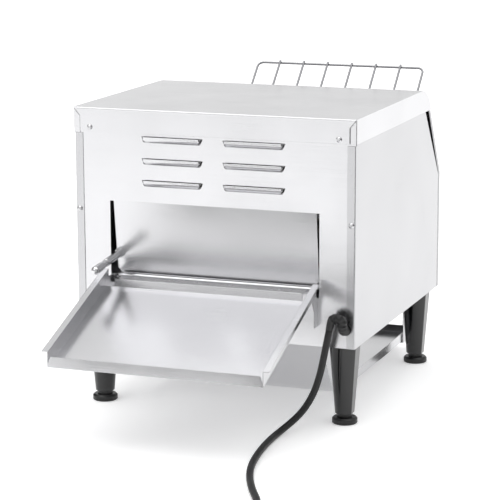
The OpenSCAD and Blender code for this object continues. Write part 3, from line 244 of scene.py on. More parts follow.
def spread(noise: bpy.types.Node, low: float, high: float) -> dict:
    """Fills a range node that spreads a noise's middle, where nearly all of it lies.

    Args:
        noise: The noise.
        low: Result at the middle's low end.
        high: Result at the middle's high end.

    Returns:
        The node's inputs.
    """
    return {"Value": noise, "From Min": 0.3, "From Max": 0.7, "To Min": low, "To Max": high}


# ---------------------------------------------------------------- finishes


def even(size: float) -> Triple:
    """Makes the size of marks that run in no direction."""
    return (size, size, size)


class Look(Protocol):
    """What every kind of finish can do."""

    def make(self, name: str) -> bpy.types.Material:
        """Makes the material under the given name."""


@dataclass(frozen=True)
class Metal:
    """Bare metal with fine marks, soft smudges and rounded edges.

    Attributes:
        colour: Screen colour of its reflections.
        roughness: Lowest and highest roughness.
        grain: Size of its marks along x, y and z, in millimetres.
        depth: Depth of the marks.
        edge: Radius of its edges.
        side_grain: Size of the marks on faces that look sideways, where it differs.
        strength: How much of the marks' depth shows.
        smudge: Size of the smudges that hands and cloths leave.
        smudge_blur: How much the smudges change the roughness, lowest and highest.
        smudge_shade: What is left of the light in a smudge.
        smudge_cover: How much of that shade shows.
    """

    colour: str
    roughness: Pair
    grain: Triple
    depth: float = 0.02
    edge: float = 0.6
    side_grain: Optional[Triple] = None
    strength: float = 0.3
    smudge: float = 111.1
    smudge_blur: Pair = (-0.02, 0.04)
    smudge_shade: float = 0.93
    smudge_cover: float = 0.25

    def make(self, name: str) -> bpy.types.Material:
        """Makes the material.

        Args:
            name: The material's name.

        Returns:
            The material.
        """
        tree = ShaderTree(name)
        grain = tree.noise(self.grain, detail=3.0)
        if self.side_grain:
            normal = tree.add("NewGeometry").outputs["True Normal"]
            across = tree.add("SeparateXYZ", {0: normal})
            sideways = tree.add("Math", {0: across}, operation="ABSOLUTE")
            side_grain = tree.noise(self.side_grain, detail=3.0)
            grain = tree.add("Mix", {0: sideways, 2: grain, 3: side_grain})
        smudges = tree.noise(even(self.smudge), detail=3.0)
        blur = tree.add("MapRange", spread(smudges, *self.smudge_blur))
        rough = tree.add("MapRange", spread(grain, *self.roughness))
        cover = tree.add("MapRange", spread(smudges, 0.0, self.smudge_cover))
        colour = tree.add("Mix", {0: cover, 6: linear(self.colour),
                                  7: linear(self.colour, self.smudge_shade)}, data_type="RGBA")
        return tree.principled(
            Base_Color=colour.outputs[2], Metallic=1.0,
            Roughness=tree.add("Math", {0: rough, 1: blur}, operation="ADD"),
            Normal=tree.relief(grain, self.depth, self.strength, self.edge))


@dataclass(frozen=True)
class Moulding:
    """Plastic, rubber, glaze, paint or felt with a fine texture and soft variation.

    Attributes:
        colour: Screen colour of the body.
        roughness: Lowest and highest roughness.
        cell: Size of its surface texture in millimetres.
        depth: Depth of the texture.
        coat: Weight of a clear coat.
        edge: Radius of its edges.
        second: Colour that it varies towards, or None.
        cloud: Size of the patches in which colour and gloss vary.
        coat_roughness: Roughness of the clear coat.
        strength: How much of the texture's depth shows.
    """

    colour: str
    roughness: Pair
    cell: float = 0.6
    depth: float = 0.03
    coat: float = 0.0
    edge: float = 0.5
    second: Optional[str] = None
    cloud: float = 40.0
    coat_roughness: float = 0.08
    strength: float = 0.5

    def make(self, name: str) -> bpy.types.Material:
        """Makes the material.

        Args:
            name: The material's name.

        Returns:
            The material.
        """
        tree = ShaderTree(name)
        texture = tree.noise(even(self.cell), detail=2.0)
        clouds = tree.noise(even(self.cloud), detail=3.0)
        patches = tree.add("MapRange", spread(clouds, 0.0, 1.0))
        colour = tree.add("Mix", {0: patches, 6: linear(self.colour),
                                  7: linear(self.second or self.colour)}, data_type="RGBA")
        return tree.principled(
            Base_Color=colour.outputs[2], Coat_Weight=self.coat,
            Coat_Roughness=self.coat_roughness,
            Roughness=tree.add("MapRange", spread(clouds, *self.roughness)),
            Normal=tree.relief(texture, self.depth, self.strength, self.edge))


@dataclass(frozen=True)
class Quartz:
    """Satin quartz tube, faintly banded by the warm coil inside it.

    Attributes:
        clear: Screen colour between the coil's turns.
        warm: Screen colour over a turn.
        band: Size of the bands along x, y and z, in millimetres.
        roughness: Roughness of the quartz.
        milkiness: How much light spreads inside it.
        coat: Weight of its fire-polished skin.
        coat_roughness: Roughness of that skin.
    """

    clear: str = "#efe9dd"
    warm: str = "#d9cdb9"
    band: Triple = (2.381, 333.3, 333.3)
    roughness: float = 0.28
    milkiness: float = 0.15
    coat: float = 0.4
    coat_roughness: float = 0.12

    def make(self, name: str) -> bpy.types.Material:
        """Makes the material.

        Args:
            name: The material's name.

        Returns:
            The material.
        """
        tree = ShaderTree(name)
        bands = tree.add("MapRange", spread(tree.noise(self.band, detail=1.0), 0.0, 1.0))
        colour = tree.add("Mix", {0: bands, 6: linear(self.clear), 7: linear(self.warm)},
                          data_type="RGBA")
        return tree.principled(
            Base_Color=colour.outputs[2], Roughness=self.roughness,
            Subsurface_Weight=self.milkiness, Coat_Weight=self.coat,
            Coat_Roughness=self.coat_roughness)


@dataclass(frozen=True)
class Lens:
    """Clear moulded lens of a pilot lamp, ribbed on the inside.

    Attributes:
        colour: Screen colour of the plastic.
        rib: Size of the ribs in millimetres.
        depth: Depth of the ribs.
        strength: How much of that depth shows.
        edge: Radius of its edges.
        roughness: Roughness of the plastic.
        clearness: How much light passes through it.
        ior: Its index of refraction.
    """

    colour: str = "#e07a1e"
    rib: float = 1.667
    depth: float = 0.05
    strength: float = 0.4
    edge: float = 0.4
    roughness: float = 0.12
    clearness: float = 0.35
    ior: float = 1.49

    def make(self, name: str) -> bpy.types.Material:
        """Makes the material.

        Args:
            name: The material's name.

        Returns:
            The material.
        """
        tree = ShaderTree(name)
        ribs = tree.noise(even(self.rib), detail=1.0)
        return tree.principled(
            Base_Color=linear(self.colour), Roughness=self.roughness, IOR=self.ior,
            Transmission_Weight=self.clearness,
            Normal=tree.relief(ribs, self.depth, self.strength, self.edge))


@dataclass(frozen=True)
class StudioPaper:
    """Plain pale paper that the machine stands on.

    Attributes:
        colour: Screen colour of the paper.
        roughness: Lowest and highest roughness.
        fibre: Size of its fibre clouds in millimetres.
        glow: Light of its own, which keeps it as pale as in the photograph.
    """

    colour: str = "#fbfbfb"
    roughness: Pair = (0.8, 0.9)
    fibre: float = 16.67
    glow: float = 0.3

    def make(self, name: str) -> bpy.types.Material:
        """Makes the material.

        Args:
            name: The material's name.

        Returns:
            The material.
        """
        tree = ShaderTree(name)
        fibres = tree.noise(even(self.fibre), detail=2.0)
        return tree.principled(
            Base_Color=linear(self.colour), Specular_IOR_Level=0.0,
            Roughness=tree.add("MapRange", spread(fibres, *self.roughness)),
            Emission_Color=WHITE, Emission_Strength=self.glow)


class Finish(Enum):
    """The real materials on the machine and in the studio."""

    SHEET_ALONG_X = "stainless_sheet_brushed_across"
    SHEET_ALONG_Y_SHADED = "stainless_sheet_brushed_along_painted_shade"
    SHEET_FRONT = "stainless_sheet_satin"
    POLISHED = "polished_stainless_rod"
    WIRE_SHADED = "drawn_stainless_wire_painted_shade"
    ZINC = "zinc_plated_steel"
    BELT = "heat_tinted_steel"
    QUARTZ = "satin_quartz"
    CERAMIC = "glazed_steatite"
    BRONZE = "sintered_bronze"
    PAINT = "satin_black_paint"
    BLACK_GLOSS = "glossy_black_abs"
    BLACK_SATIN = "satin_black_nylon"
    RUBBER = "black_pvc_sheath"
    BOARD = "green_solder_mask"
    AMBER = "amber_polycarbonate"
    SLEEVE = "silicone_sleeve"
    PORCELAIN = "white_porcelain"
    MARKING = "white_marking_ink"
    PIN = "nickel_plated_brass"
    TIE = "black_nylon_tie"
    FLOOR = "pale_table"
    FLAG = "black_felt"


# Brushing lines run the length of a sheet and are about 0.05 mm wide. They are drawn 125 mm
# long and 0.38 mm wide, as coarse as they need to be to show at the size of the picture.
LINE_LONG = 125.0
LINE_WIDE = 1 / 2.6
ACROSS: Triple = (LINE_LONG, LINE_WIDE, LINE_WIDE)
ALONG: Triple = (LINE_WIDE, LINE_LONG, LINE_WIDE)

LOOKS: dict[Finish, Look] = {
    # Stainless sheet, rolled and brushed across the machine: a bright metal whose fine lines
    # draw each reflection out at right angles to them. Folded sides are brushed along.
    Finish.SHEET_ALONG_X: Metal("#d2d2d4", (0.19, 0.24), ACROSS, side_grain=ALONG),
    # The same sheet, brushed from front to back. Its darker colour is painted shade for the
    # sideways faces it covers, which catch less of the room's light.
    Finish.SHEET_ALONG_Y_SHADED: Metal("#bebec0", (0.19, 0.24), ALONG),
    # Stainless sheet with a duller satin brushing: greyer and with softer reflections.
    Finish.SHEET_FRONT: Metal("#a4a4a6", (0.22, 0.28), ACROSS),
    # Turned and polished stainless rod: sharp, narrow highlights. Its turning marks, of
    # 0.1 mm, are drawn as shallow clouds of 3.3 mm that only stir the highlight.
    Finish.POLISHED: Metal("#d4d4d6", (0.10, 0.16), even(3.333), depth=0.008),
    # Drawn stainless wire: even, with a soft line of light along each wire. Its grey colour is
    # painted shade, standing for the dark surroundings that the bright wire mirrors. The die's
    # 0.05 mm scratches are drawn as shallow clouds of 2 mm, so that they show.
    Finish.WIRE_SHADED: Metal("#8f8f92", (0.22, 0.30), even(2.0), depth=0.008),
    # Zinc plating on pressed steel: a cool, cloudy grey in patches of about 7 mm.
    Finish.ZINC: Metal("#c4c6ca", (0.30, 0.42), even(7.143)),
    # Steel that has been hot: a brownish grey that is dull in spots of 4 to 5 mm.
    Finish.BELT: Metal("#9c9488", (0.30, 0.45), even(4.545)),
    # Drawn quartz tube round a wound wire: milky white with a band for each turn of 2.4 mm.
    Finish.QUARTZ: Quartz(),
    # Pressed and glazed steatite: cream white and softly shiny, with 0.8 mm dimples.
    Finish.CERAMIC: Moulding("#e6dfcf", (0.30, 0.42), 0.8, second="#ddd3bd"),
    # Sintered bronze: warm and dull. Its 0.1 mm grains are drawn 1.1 mm wide, so they show.
    Finish.BRONZE: Metal("#b98d56", (0.35, 0.48), even(1.111)),
    # Stoved black paint: an even satin with the 0.7 mm ripple of a sprayed coat.
    Finish.PAINT: Moulding("#1d1e20", (0.34, 0.44), 0.7),
    # ABS moulded in a polished tool: deep black and glossy, with faint 1.5 mm waves.
    Finish.BLACK_GLOSS: Moulding("#050506", (0.16, 0.22), 1.5, depth=0.01, coat=0.3),
    # Nylon moulded in a spark-eroded tool: soft black with a grain of 0.5 mm.
    Finish.BLACK_SATIN: Moulding("#0c0c0d", (0.34, 0.44), 0.5, second="#101011"),
    # Extruded soft PVC: dull black, with the 0.9 mm unevenness of its skin.
    Finish.RUBBER: Moulding("#0a0a0b", (0.46, 0.56), 0.9, second="#0e0e0f"),
    # Solder mask over a glass-cloth board: green and shiny, with the cloth's 1.2 mm weave.
    Finish.BOARD: Moulding("#14512c", (0.30, 0.38), 1.2, second="#1b5c34"),
    # Polycarbonate moulded clear: amber, with ribs of 1.7 mm that break up the light.
    Finish.AMBER: Lens(),
    # Silicone sleeve over braided glass: dull red, with the braid's 0.8 mm bumps.
    Finish.SLEEVE: Moulding("#9d2f26", (0.5, 0.6), 0.8, second="#8c2a23"),
    # Glazed porcelain: warm white with soft highlights and 1 mm orange peel.
    Finish.PORCELAIN: Moulding("#e9e6dd", (0.28, 0.36), 1.0),
    # Screen-printed ink: flat white with the 0.4 mm mark of the screen's mesh.
    Finish.MARKING: Moulding("#eeeeec", (0.5, 0.6), 0.4, depth=0.005, edge=0.1),
    # Brass with bright nickel plating: a warm silver with sharp highlights. Its polishing
    # marks, of 0.1 mm, are drawn as shallow clouds of 2.5 mm.
    Finish.PIN: Metal("#d2cec4", (0.14, 0.2), even(2.5), depth=0.008, edge=0.4),
    # Moulded nylon strap: black with a low shine and a 0.6 mm grain.
    Finish.TIE: Moulding("#0e0e0f", (0.3, 0.4), 0.6, edge=0.2),
    # Matt paper, seamless and almost white, with fibre clouds of 17 mm.
    Finish.FLOOR: StudioPaper(),
    # Wool felt on a card: dark and dull with 2 mm tufts, so that metal mirrors a soft grey.
    Finish.FLAG: Moulding("#3a3a3a", (0.9, 1.0), 2.0),
}

NODE_FINISHES: dict[Finish, tuple[str, ...]] = {
    Finish.SHEET_ALONG_X: ("rear_panel", "top_cover", "upper_reflector", "lower_reflector",
                           "crumb_plate", "infeed_chute", "deflector_plate", "rear_tray",
                           "front_tray"),
    Finish.SHEET_FRONT: ("front_panel",),
    Finish.SHEET_ALONG_Y_SHADED: ("left_side_panel", "right_side_panel", "left_inner_wall",
                           "right_inner_wall", "tray_hangers"),
    Finish.POLISHED: ("rear_shaft", "front_shaft", "speed_spindle", "heat_spindle",
                      "deflector_rod", "deflector_handle", "handle_nut", "case_screws"),
    Finish.WIRE_SHADED: ("wire_rack",),
    Finish.ZINC: ("base_pan", "motor_bracket"),
    Finish.BELT: ("conveyor_belt", "rear_wheels", "front_wheels", "driven_sprocket",
                  "motor_sprocket", "drive_chain"),
    Finish.QUARTZ: ("heater_tubes",),
    Finish.CERAMIC: ("heater_caps",),
    Finish.BRONZE: ("shaft_bushes",),
    Finish.PAINT: ("gear_motor",),
    Finish.BLACK_GLOSS: ("rear_left_leg", "rear_right_leg", "front_left_leg", "front_right_leg"),
    Finish.BLACK_SATIN: ("rear_left_foot", "rear_right_foot", "front_left_foot",
                         "front_right_foot", "fan_housing", "fan_rotor", "speed_knob",
                         "heat_knob", "power_switch", "power_rocker", "cable_gland",
                         "speed_control", "heat_switch"),
    Finish.BOARD: ("control_board",),
    Finish.AMBER: ("pilot_lamps",),
    Finish.SLEEVE: ("wiring_loom",),
    Finish.PORCELAIN: ("terminal_block",),
}

FINISH_SLOTS: dict[Finish, str] = {
    Finish.RUBBER: "cord_rubber",
    Finish.TIE: "cord_rubber",
    Finish.PIN: "polished_rod",
    Finish.MARKING: "terminal_white",
    Finish.BELT: "belt_steel",
}


class Palette:
    """Makes each material once and hands it out."""

    def __init__(self) -> None:
        """Starts with no material made."""
        self.made: dict[Finish, bpy.types.Material] = {}

    def __getitem__(self, finish: Finish) -> bpy.types.Material:
        """Returns the material of a finish, making it the first time.

        Args:
            finish: The finish to look up.

        Returns:
            Its material.
        """
        if finish not in self.made:
            self.made[finish] = LOOKS[finish].make(finish.value)
        return self.made[finish]

    def dress(self, nodes: dict[str, bpy.types.Object]) -> None:
        """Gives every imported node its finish.

        Args:
            nodes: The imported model's objects by node name.
        """
        for finish, names in NODE_FINISHES.items():
            for name in names:
                materials = nodes[name].data.materials
                materials.clear()
                materials.append(self[finish])
                LOG.info("dressed %s in %s", name, finish.value)


# ---------------------------------------------------------------- meshes


def add_piece(name: str, mesh: bpy.types.Mesh, material: bpy.types.Material,
              smooth: bool = True) -> bpy.types.Object:
    """Puts a mesh into the scene as a piece.

    Args:
        name: The piece's name.
        mesh: Its mesh, in scene coordinates.
        material: Its material.
        smooth: Whether its faces are shaded smooth.

    Returns:
        The new object.
    """
    mesh.materials.append(material)
    for polygon in mesh.polygons:
        polygon.use_smooth = smooth
    piece = bpy.data.objects.new(name, mesh)
    bpy.context.scene.collection.objects.link(piece)
    LOG.info("made %s of %s, %d faces", name, material.name, len(mesh.polygons))
    return piece


def circle(sides: int) -> list[Pair]:
    """Lists the cosine and sine of even steps round a circle."""
    angles = [2 * math.pi * step / sides for step in range(sides)]
    return [(math.cos(angle), math.sin(angle)) for angle in angles]


class MeshBuilder:
    """Collects simple solids into one mesh."""

    def __init__(self) -> None:
        """Starts an empty mesh."""
        self.bm = bmesh.new()

    def finish(self, name: str) -> bpy.types.Mesh:
        """Closes the builder and returns its mesh.

        Args:
            name: The mesh's name.

        Returns:
            The mesh with outward normals.
        """
        bmesh.ops.recalc_face_normals(self.bm, faces=self.bm.faces)
        mesh = bpy.data.meshes.new(name)
        self.bm.to_mesh(mesh)
        self.bm.free()
        return mesh

    def _skin(self, rings: Sequence[Sequence[Vector]], closed: bool = False) -> None:
        """Lays faces from ring to ring, and over both ends unless the rings close.

        Args:
            rings: The rings' points, in order along the solid.
            closed: Whether the last ring joins the first.
        """
        loops = [[self.bm.verts.new(place) for place in ring] for ring in rings]
        pairs = list(zip(loops, loops[1:])) + ([(loops[-1], loops[0])] if closed else [])
        for first, second in pairs:
            for j in range(len(first)):
                k = (j + 1) % len(first)
                self.bm.faces.new((first[j], first[k], second[k], second[j]))
        if not closed:
            self.bm.faces.new(loops[0][::-1])
            self.bm.faces.new(loops[-1])

    def tube(self, points: Sequence[Vector], radius: float, sides: int = 12,
             squash: float = 1.0, up: Vector = UP, closed: bool = False) -> None:
        """Sweeps a ring along points.

        Args:
            points: The line that the tube follows.
            radius: Its radius.
            sides: Sides of one ring.
            squash: Height of a ring over its width.
            up: Direction in which the first ring is squashed.
            closed: Whether the last ring joins the first.
        """
        count = len(points)
        rings = []
        guide = up
        for i, place in enumerate(points):
            before = points[(i - 1) % count if closed else max(i - 1, 0)]
            after = points[(i + 1) % count if closed else min(i + 1, count - 1)]
            tangent = (after - before).normalized()
            side = tangent.cross(guide).normalized()
            guide = side.cross(tangent)
            rings.append([place + side * radius * across + guide * radius * squash * high
                          for across, high in circle(sides)])
        self._skin(rings, closed)

    def lathe(self, outline: Sequence[Pair], place: Matrix, sides: int = 48) -> None:
        """Turns an outline in millimetres round the local z axis.

        Args:
            outline: Height and radius of each ring, with no radius of zero.
            place: Where the local origin and axes lie.
            sides: Sides of one ring.
        """
        self._skin([[place @ Vector((radius * MM * x, radius * MM * y, height * MM))
                     for x, y in circle(sides)] for height, radius in outline])

    def slab(self, place: Matrix, size: Triple, bevel: float = 0.0) -> None:
        """Adds a box in millimetres, with rounded edges where asked.

        Args:
            place: Where its middle and axes lie.
            size: Its lengths.
            bevel: Radius of its edges.
        """
        matrix = place @ Matrix.Diagonal((*metres(size), 1))
        made = bmesh.ops.create_cube(self.bm, size=1.0, matrix=matrix)
        if bevel > 0:
            edges = dict.fromkeys(edge for corner in made["verts"] for edge in corner.link_edges)
            bmesh.ops.bevel(self.bm, geom=list(edges), offset=bevel * MM, segments=2,
                            affect="EDGES", profile=0.5)


def smooth_line(points: Sequence[Vector], step: float, cuts: int = 12) -> list[Vector]:
    """Lays a smooth curve through points and cuts it at even steps.

    Args:
        points: The points to pass.
        step: Distance from one cut to the next.
        cuts: Fine steps from one point to the next, from which the curve is measured.

    Returns:
        Points on the curve, with both ends kept.
    """
    fine = []
    ends = [points[0] * 2 - points[1], *points, points[-1] * 2 - points[-2]]
    for a, b, c, d in zip(ends, ends[1:], ends[2:], ends[3:]):
        for i in range(cuts):
            t = i / cuts
            fine.append(0.5 * (2 * b + (c - a) * t + (2 * a - 5 * b + 4 * c - d) * t * t
                               + (3 * b - a - 3 * c + d) * t * t * t))
    fine.append(points[-1].copy())
    lengths = [0.0]
    for first, second in zip(fine, fine[1:]):
        lengths.append(lengths[-1] + (second - first).length)
    count = max(2, round(lengths[-1] / step))
    result = []
    j = 0
    for i in range(count + 1):
        target = lengths[-1] * i / count
        while j < len(fine) - 2 and lengths[j + 1] < target:
            j += 1
        part = (target - lengths[j]) / (lengths[j + 1] - lengths[j])
        result.append(fine[j].lerp(fine[j + 1], min(max(part, 0.0), 1.0)))
    return result


# ---------------------------------------------------------------- camera


@dataclass(frozen=True)
class CameraFit:
    """The camera that took the photograph, found from the machine's corners.

    Attributes:
        yaw: Turn away from looking straight at the rear face, in degrees.
        pitch: Tilt below the horizon in degrees.
        roll: Turn about the line of sight in degrees.
        place: Position in millimetres from the rear face.
        focal: Focal length in pixels of the picture.
        frame: Width of the picture in pixels.
        sensor: Width of the camera's sensor in millimetres.
        reach: Furthest distance that it draws, in metres.
    """

    yaw: float = 20.319
    pitch: float = 11.578
    roll: float = -0.192
    place: Triple = (-912.8, 2335.1, 724.8)
    focal: float = 2087.2
    frame: float = 500.0
    sensor: float = 36.0
    reach: float = 50.0

    def install(self) -> None:
        """Creates the camera and makes it the scene's own."""
        yaw, pitch, roll = (math.radians(a) for a in (self.yaw, self.pitch, self.roll))
        forward = Vector((math.sin(yaw) * math.cos(pitch), -math.cos(yaw) * math.cos(pitch),
                          -math.sin(pitch)))
        right = forward.cross(UP).normalized()
        up = right.cross(forward)
        right, up = (right * math.cos(roll) + up * math.sin(roll),
                     up * math.cos(roll) - right * math.sin(roll))
        data = bpy.data.cameras.new("photo_camera")
        data.sensor_width = self.sensor
        data.lens = self.focal * self.sensor / self.frame
        data.clip_end = self.reach
        camera = bpy.data.objects.new("photo_camera", data)
        camera.matrix_world = standing(at(*self.place), right, up, -forward)
        bpy.context.scene.collection.objects.link(camera)
        bpy.context.scene.camera = camera
        LOG.info("camera with a lens of %.1f mm", data.lens)


# ---------------------------------------------------------------- cord


@dataclass(frozen=True)
class Tie:
    """The flat tie round the coil's bundle, with its moulded lock on top.

    Attributes:
        half_width: Half of its width across the bundle.
        half_height: Half of its height.
        corner: Radius of its corners.
        corner_points: Points on one corner.
        thickness: Half of the strap's thickness.
        flatness: Width of the strap over its thickness.
        lock: Size of the lock.
        lock_edge: Radius of the lock's edges.
        lock_lift: Height of the lock's middle above the strap.
    """

    half_width: float = 10.6
    half_height: float = 8.2
    corner: float = 4.4
    corner_points: int = 7
    thickness: float = 0.55
    flatness: float = 3.6
    lock: Triple = (5.2, 4.4, 2.6)
    lock_edge: float = 0.6
    lock_lift: float = 0.6

    def build(self, middle: Vector, out: Vector, palette: Palette) -> bpy.types.Object:
        """Makes the tie.

        Args:
            middle: The bundle's middle, in millimetres.
            out: The direction across the bundle, away from the coil's middle.
            palette: The materials.

        Returns:
            The tie.
        """
        inner_w = self.half_width - self.corner
        inner_h = self.half_height - self.corner
        corners = ((inner_w, inner_h), (-inner_w, inner_h), (-inner_w, -inner_h),
                   (inner_w, -inner_h))
        loop = []
        for quarter, (across, high) in enumerate(corners):
            for i in range(self.corner_points):
                angle = math.pi / 2 * (quarter + i / (self.corner_points - 1))
                loop.append(at(*(middle + out * (across + self.corner * math.cos(angle))
                                 + UP * (high + self.corner * math.sin(angle)))))
        tangent = Vector((-out.y, out.x, 0))
        builder = MeshBuilder()
        builder.tube(loop, self.thickness * MM, 8, squash=self.flatness, up=tangent, closed=True)
        top = at(*(middle + UP * (self.half_height + self.lock_lift)))
        builder.slab(standing(top, out, tangent, UP), self.lock, self.lock_edge)
        return add_piece("cord_tie", builder.finish("cord_tie"), palette[Finish.TIE])


@dataclass(frozen=True)
class Plug:
    """The moulded plug with two round pins. An outline gives heights and radii.

    Attributes:
        radius: Radius of the plug's body.
        collar: Outline where the cord comes in.
        rib: Outline of the first rib of the bend relief.
        ribs: Number of ribs.
        rib_step: Distance from rib to rib.
        rib_swell: How much thicker each rib is than the last.
        shoulder: Outline from the ribs to the body.
        grip: Outline of the body, as heights with how far they lie inside its radius.
        face: Radius of the ring that closes the face.
        pin: Outline of a pin.
        pin_y: Distance of a pin from the axis.
        earth: Size of an earth clip in the rim.
        earth_z: Height of the earth clips' middle.
        earth_inset: How far an earth clip's middle lies inside the body's radius.
    """

    radius: float = 16.9
    collar: tuple[Pair, ...] = ((0, 4.9), (0.6, 5.3))
    rib: tuple[Pair, ...] = ((2, 5.7), (3.3, 5.8), (3.5, 5.0), (4.5, 5.1))
    ribs: int = 5
    rib_step: float = 2.7
    rib_swell: float = 0.35
    shoulder: tuple[Pair, ...] = ((16.2, 7.6), (18, 9.6), (21, 11.6), (25, 14.4))
    grip: tuple[Pair, ...] = ((27.6, 0.5), (28.6, 0), (33, 0), (33.4, 0.5), (34.2, 0.5),
                              (34.6, 0), (42.6, 0), (43.7, 0.6), (44, 1.8))
    face: float = 2.0
    pin: tuple[Pair, ...] = ((43, 2.4), (61, 2.4), (62.4, 2.1), (63, 1.3), (63.1, 0.3))
    pin_y: float = 9.5
    earth: Triple = (1.0, 4.6, 13)
    earth_z: float = 37.0
    earth_inset: float = 0.7

    def outline(self) -> list[Pair]:
        """Lists the body's outline, from the cord to the face.

        Returns:
            Height and radius of each ring, in millimetres.
        """
        rings = list(self.collar)
        for i in range(self.ribs):
            rings += [(z + i * self.rib_step, r + i * self.rib_swell) for z, r in self.rib]
        rings += self.shoulder
        rings += [(z, self.radius - inside) for z, inside in self.grip]
        return rings + [(self.grip[-1][0], self.face)]

    def build(self, start: Vector, axis: Vector, palette: Palette) -> list[bpy.types.Object]:
        """Makes the body and the pins with the earth clips.

        Args:
            start: Where the cord comes in, in metres.
            axis: The level direction in which the pins point.
            palette: The materials.

        Returns:
            The plug's body and its pins.
        """
        place = standing(start, -UP, Vector((-axis.y, axis.x, 0)), axis)
        body = MeshBuilder()
        body.lathe(self.outline(), place)
        pins = MeshBuilder()
        for side in (-1, 1):
            pin = Vector((0, side * self.pin_y, 0)) * MM
            pins.lathe(self.pin, place @ Matrix.Translation(pin), 24)
            clip = Vector((side * (self.radius - self.earth_inset), 0, self.earth_z)) * MM
            pins.slab(place @ Matrix.Translation(clip), self.earth, 0.3)
        return [add_piece("plug_body", body.finish("plug_body"), palette[Finish.RUBBER]),
                add_piece("plug_pins", pins.finish("plug_pins"), palette[Finish.PIN])]


@dataclass
class Cord:
    """The mains cord: its visible route, its stored coil, its tie and its plug.

    Attributes:
        diameter: Thickness of the cord.
        route: Points from the strain relief to the coil.
        coil_r: Radius of the coil's outer turn.
        pitch: Step of the spiral per turn.
        layer: Height of one layer.
        start_angle: Angle on the coil at which the route meets it, in degrees.
        turns: Number of turns.
        turn_points: Points on one turn.
        climb: Part of a turn in which the cord climbs to the second layer.
        tail: Length from the coil to the plug.
        tail_points: Points on the tail.
        plug_height: Height of the plug's axis.
        tie_angle: Angle from the start to the tie, in degrees.
        tie_inset: How far inside the outer turn the tie's middle lies, in pitches.
        ring_step: Distance from one ring of the sheath to the next.
        ring_sides: Sides of a ring of the sheath.
        centre: The coil's middle, found from where the route ends.
    """

    diameter: float = 8.5
    route: tuple[Triple, ...] = (
        (-155, 15, 126.7), (-152.9, 15.4, 115.8), (-150.6, 15, 104.8), (-148.2, 14.1, 93.7),
        (-145.6, 13.1, 82.6), (-142.9, 12.4, 71.5), (-139.8, 12.3, 60.6), (-136.4, 13.1, 50.2),
        (-132.4, 15.3, 40.4), (-127.9, 18.9, 31.4), (-122.9, 24, 23.5), (-117.5, 30.8, 16.9),
        (-112.1, 39.6, 11.5), (-107.4, 50.9, 7.2), (-104.3, 66.7, 4.4), (-105.1, 92, 4.4),
        (-107.3, 118.7, 4.4), (-110.9, 146.9, 4.4), (-116.2, 176.4, 4.4), (-124.1, 206.8, 4.4),
        (-135, 237.2, 4.4), (-147.6, 265.3, 4.4), (-157.2, 284, 4.4), (-167, 303, 4.4),
        (-177.5, 331, 4.4), (-184, 360, 4.4), (-186, 390, 4.4), (-186, 420, 4.4))
    coil_r: float = 53.0
    pitch: float = 9.2
    layer: float = 9.0
    start_angle: float = 180.0
    turns: float = 3 + 98 / 360
    turn_points: int = 24
    climb: float = 0.5
    tail: float = 44.0
    tail_points: int = 4
    plug_height: float = 17.0
    tie_angle: float = 190.0
    tie_inset: float = 0.78
    ring_step: float = 3.2
    ring_sides: int = 18
    centre: Vector = field(init=False)

    def __post_init__(self) -> None:
        """Finds the coil's middle from where the route ends."""
        self.centre = Vector(self.route[-1]) - self.spoke(0) * self.coil_r

    def spoke(self, turn: float) -> Vector:
        """The direction from the coil's middle to the cord after a number of turns."""
        angle = math.radians(self.start_angle - 360 * turn)
        return Vector((math.cos(angle), math.sin(angle), 0))

    def coil_point(self, turn: float) -> Vector:
        """A point on the coil, which spirals in, climbs a layer and spirals out.

        Args:
            turn: How many turns the coil has made.

        Returns:
            The point in millimetres.
        """
        radius = self.coil_r - self.pitch * min(turn, self.turns - turn)
        part = (turn - self.turns / 2) / self.climb + 0.5
        rise = self.layer * ease(min(max(part, 0.0), 1.0))
        return self.centre + self.spoke(turn) * radius + UP * rise

    def heading(self) -> Vector:
        """The level direction in which the coil's end points."""
        return self.spoke(self.turns).cross(UP)

    def line(self) -> list[Vector]:
        """Lists the centreline's points, from the strain relief to the plug.

        Returns:
            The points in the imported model's frame, in metres.
        """
        count = math.ceil(self.turns * self.turn_points)
        points = [Vector(place) for place in self.route]
        points += [self.coil_point(i * self.turns / count) for i in range(1, count + 1)]
        end = points[-1]
        for i in range(1, self.tail_points + 1):
            part = i / self.tail_points
            rise = (self.plug_height - end.z) * ease(part)
            points.append(end + self.heading() * self.tail * part + UP * rise)
        return [at(*point) for point in points]

    def build(self, palette: Palette) -> None:
        """Args:
            palette: The materials.
        """
        line = self.line()
        path = smooth_line(line, self.ring_step * MM)
        builder = MeshBuilder()
        builder.tube(path, self.diameter / 2 * MM, self.ring_sides, up=Vector((1, 0, 0)))
        cord = add_piece("mains_cord", builder.finish("mains_cord"), palette[Finish.RUBBER])
        out = self.spoke(self.tie_angle / 360)
        bundle = (self.centre + out * (self.coil_r - self.pitch * self.tie_inset)
                  + UP * self.layer / 2)
        tie = Tie().build(bundle, out, palette)
        body, pins = Plug().build(line[-1], self.heading(), palette)
        for piece, finish in ((cord, Finish.RUBBER), (tie, Finish.TIE), (body, Finish.RUBBER),
                              (pins, Finish.PIN)):
            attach(piece, MACHINE)
            FINISH_SLOTS[finish]
        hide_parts("cord_run", "cord_coil")
        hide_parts("plug")
        length = sum((b - a).length for a, b in zip(path, path[1:]))
        LOG.info("cord length %.3f m", length)
        tuple(path[0])


# ---------------------------------------------------------------- detail pieces


def place_detail(builder: MeshBuilder, name: str, finish: Finish, body: str, palette: Palette,
                 smooth: bool = False) -> None:
    """Adds a finished builder as a piece on a body.

    Args:
        builder: The builder that holds the shape.
        name: The piece's name.
        finish: Its finish.
        body: The CAD body that carries it.
        palette: The materials.
        smooth: Whether it is shaded smooth.
    """
    piece = add_piece(name, builder.finish(name), palette[finish], smooth)
    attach(piece, body)
    FINISH_SLOTS[finish]


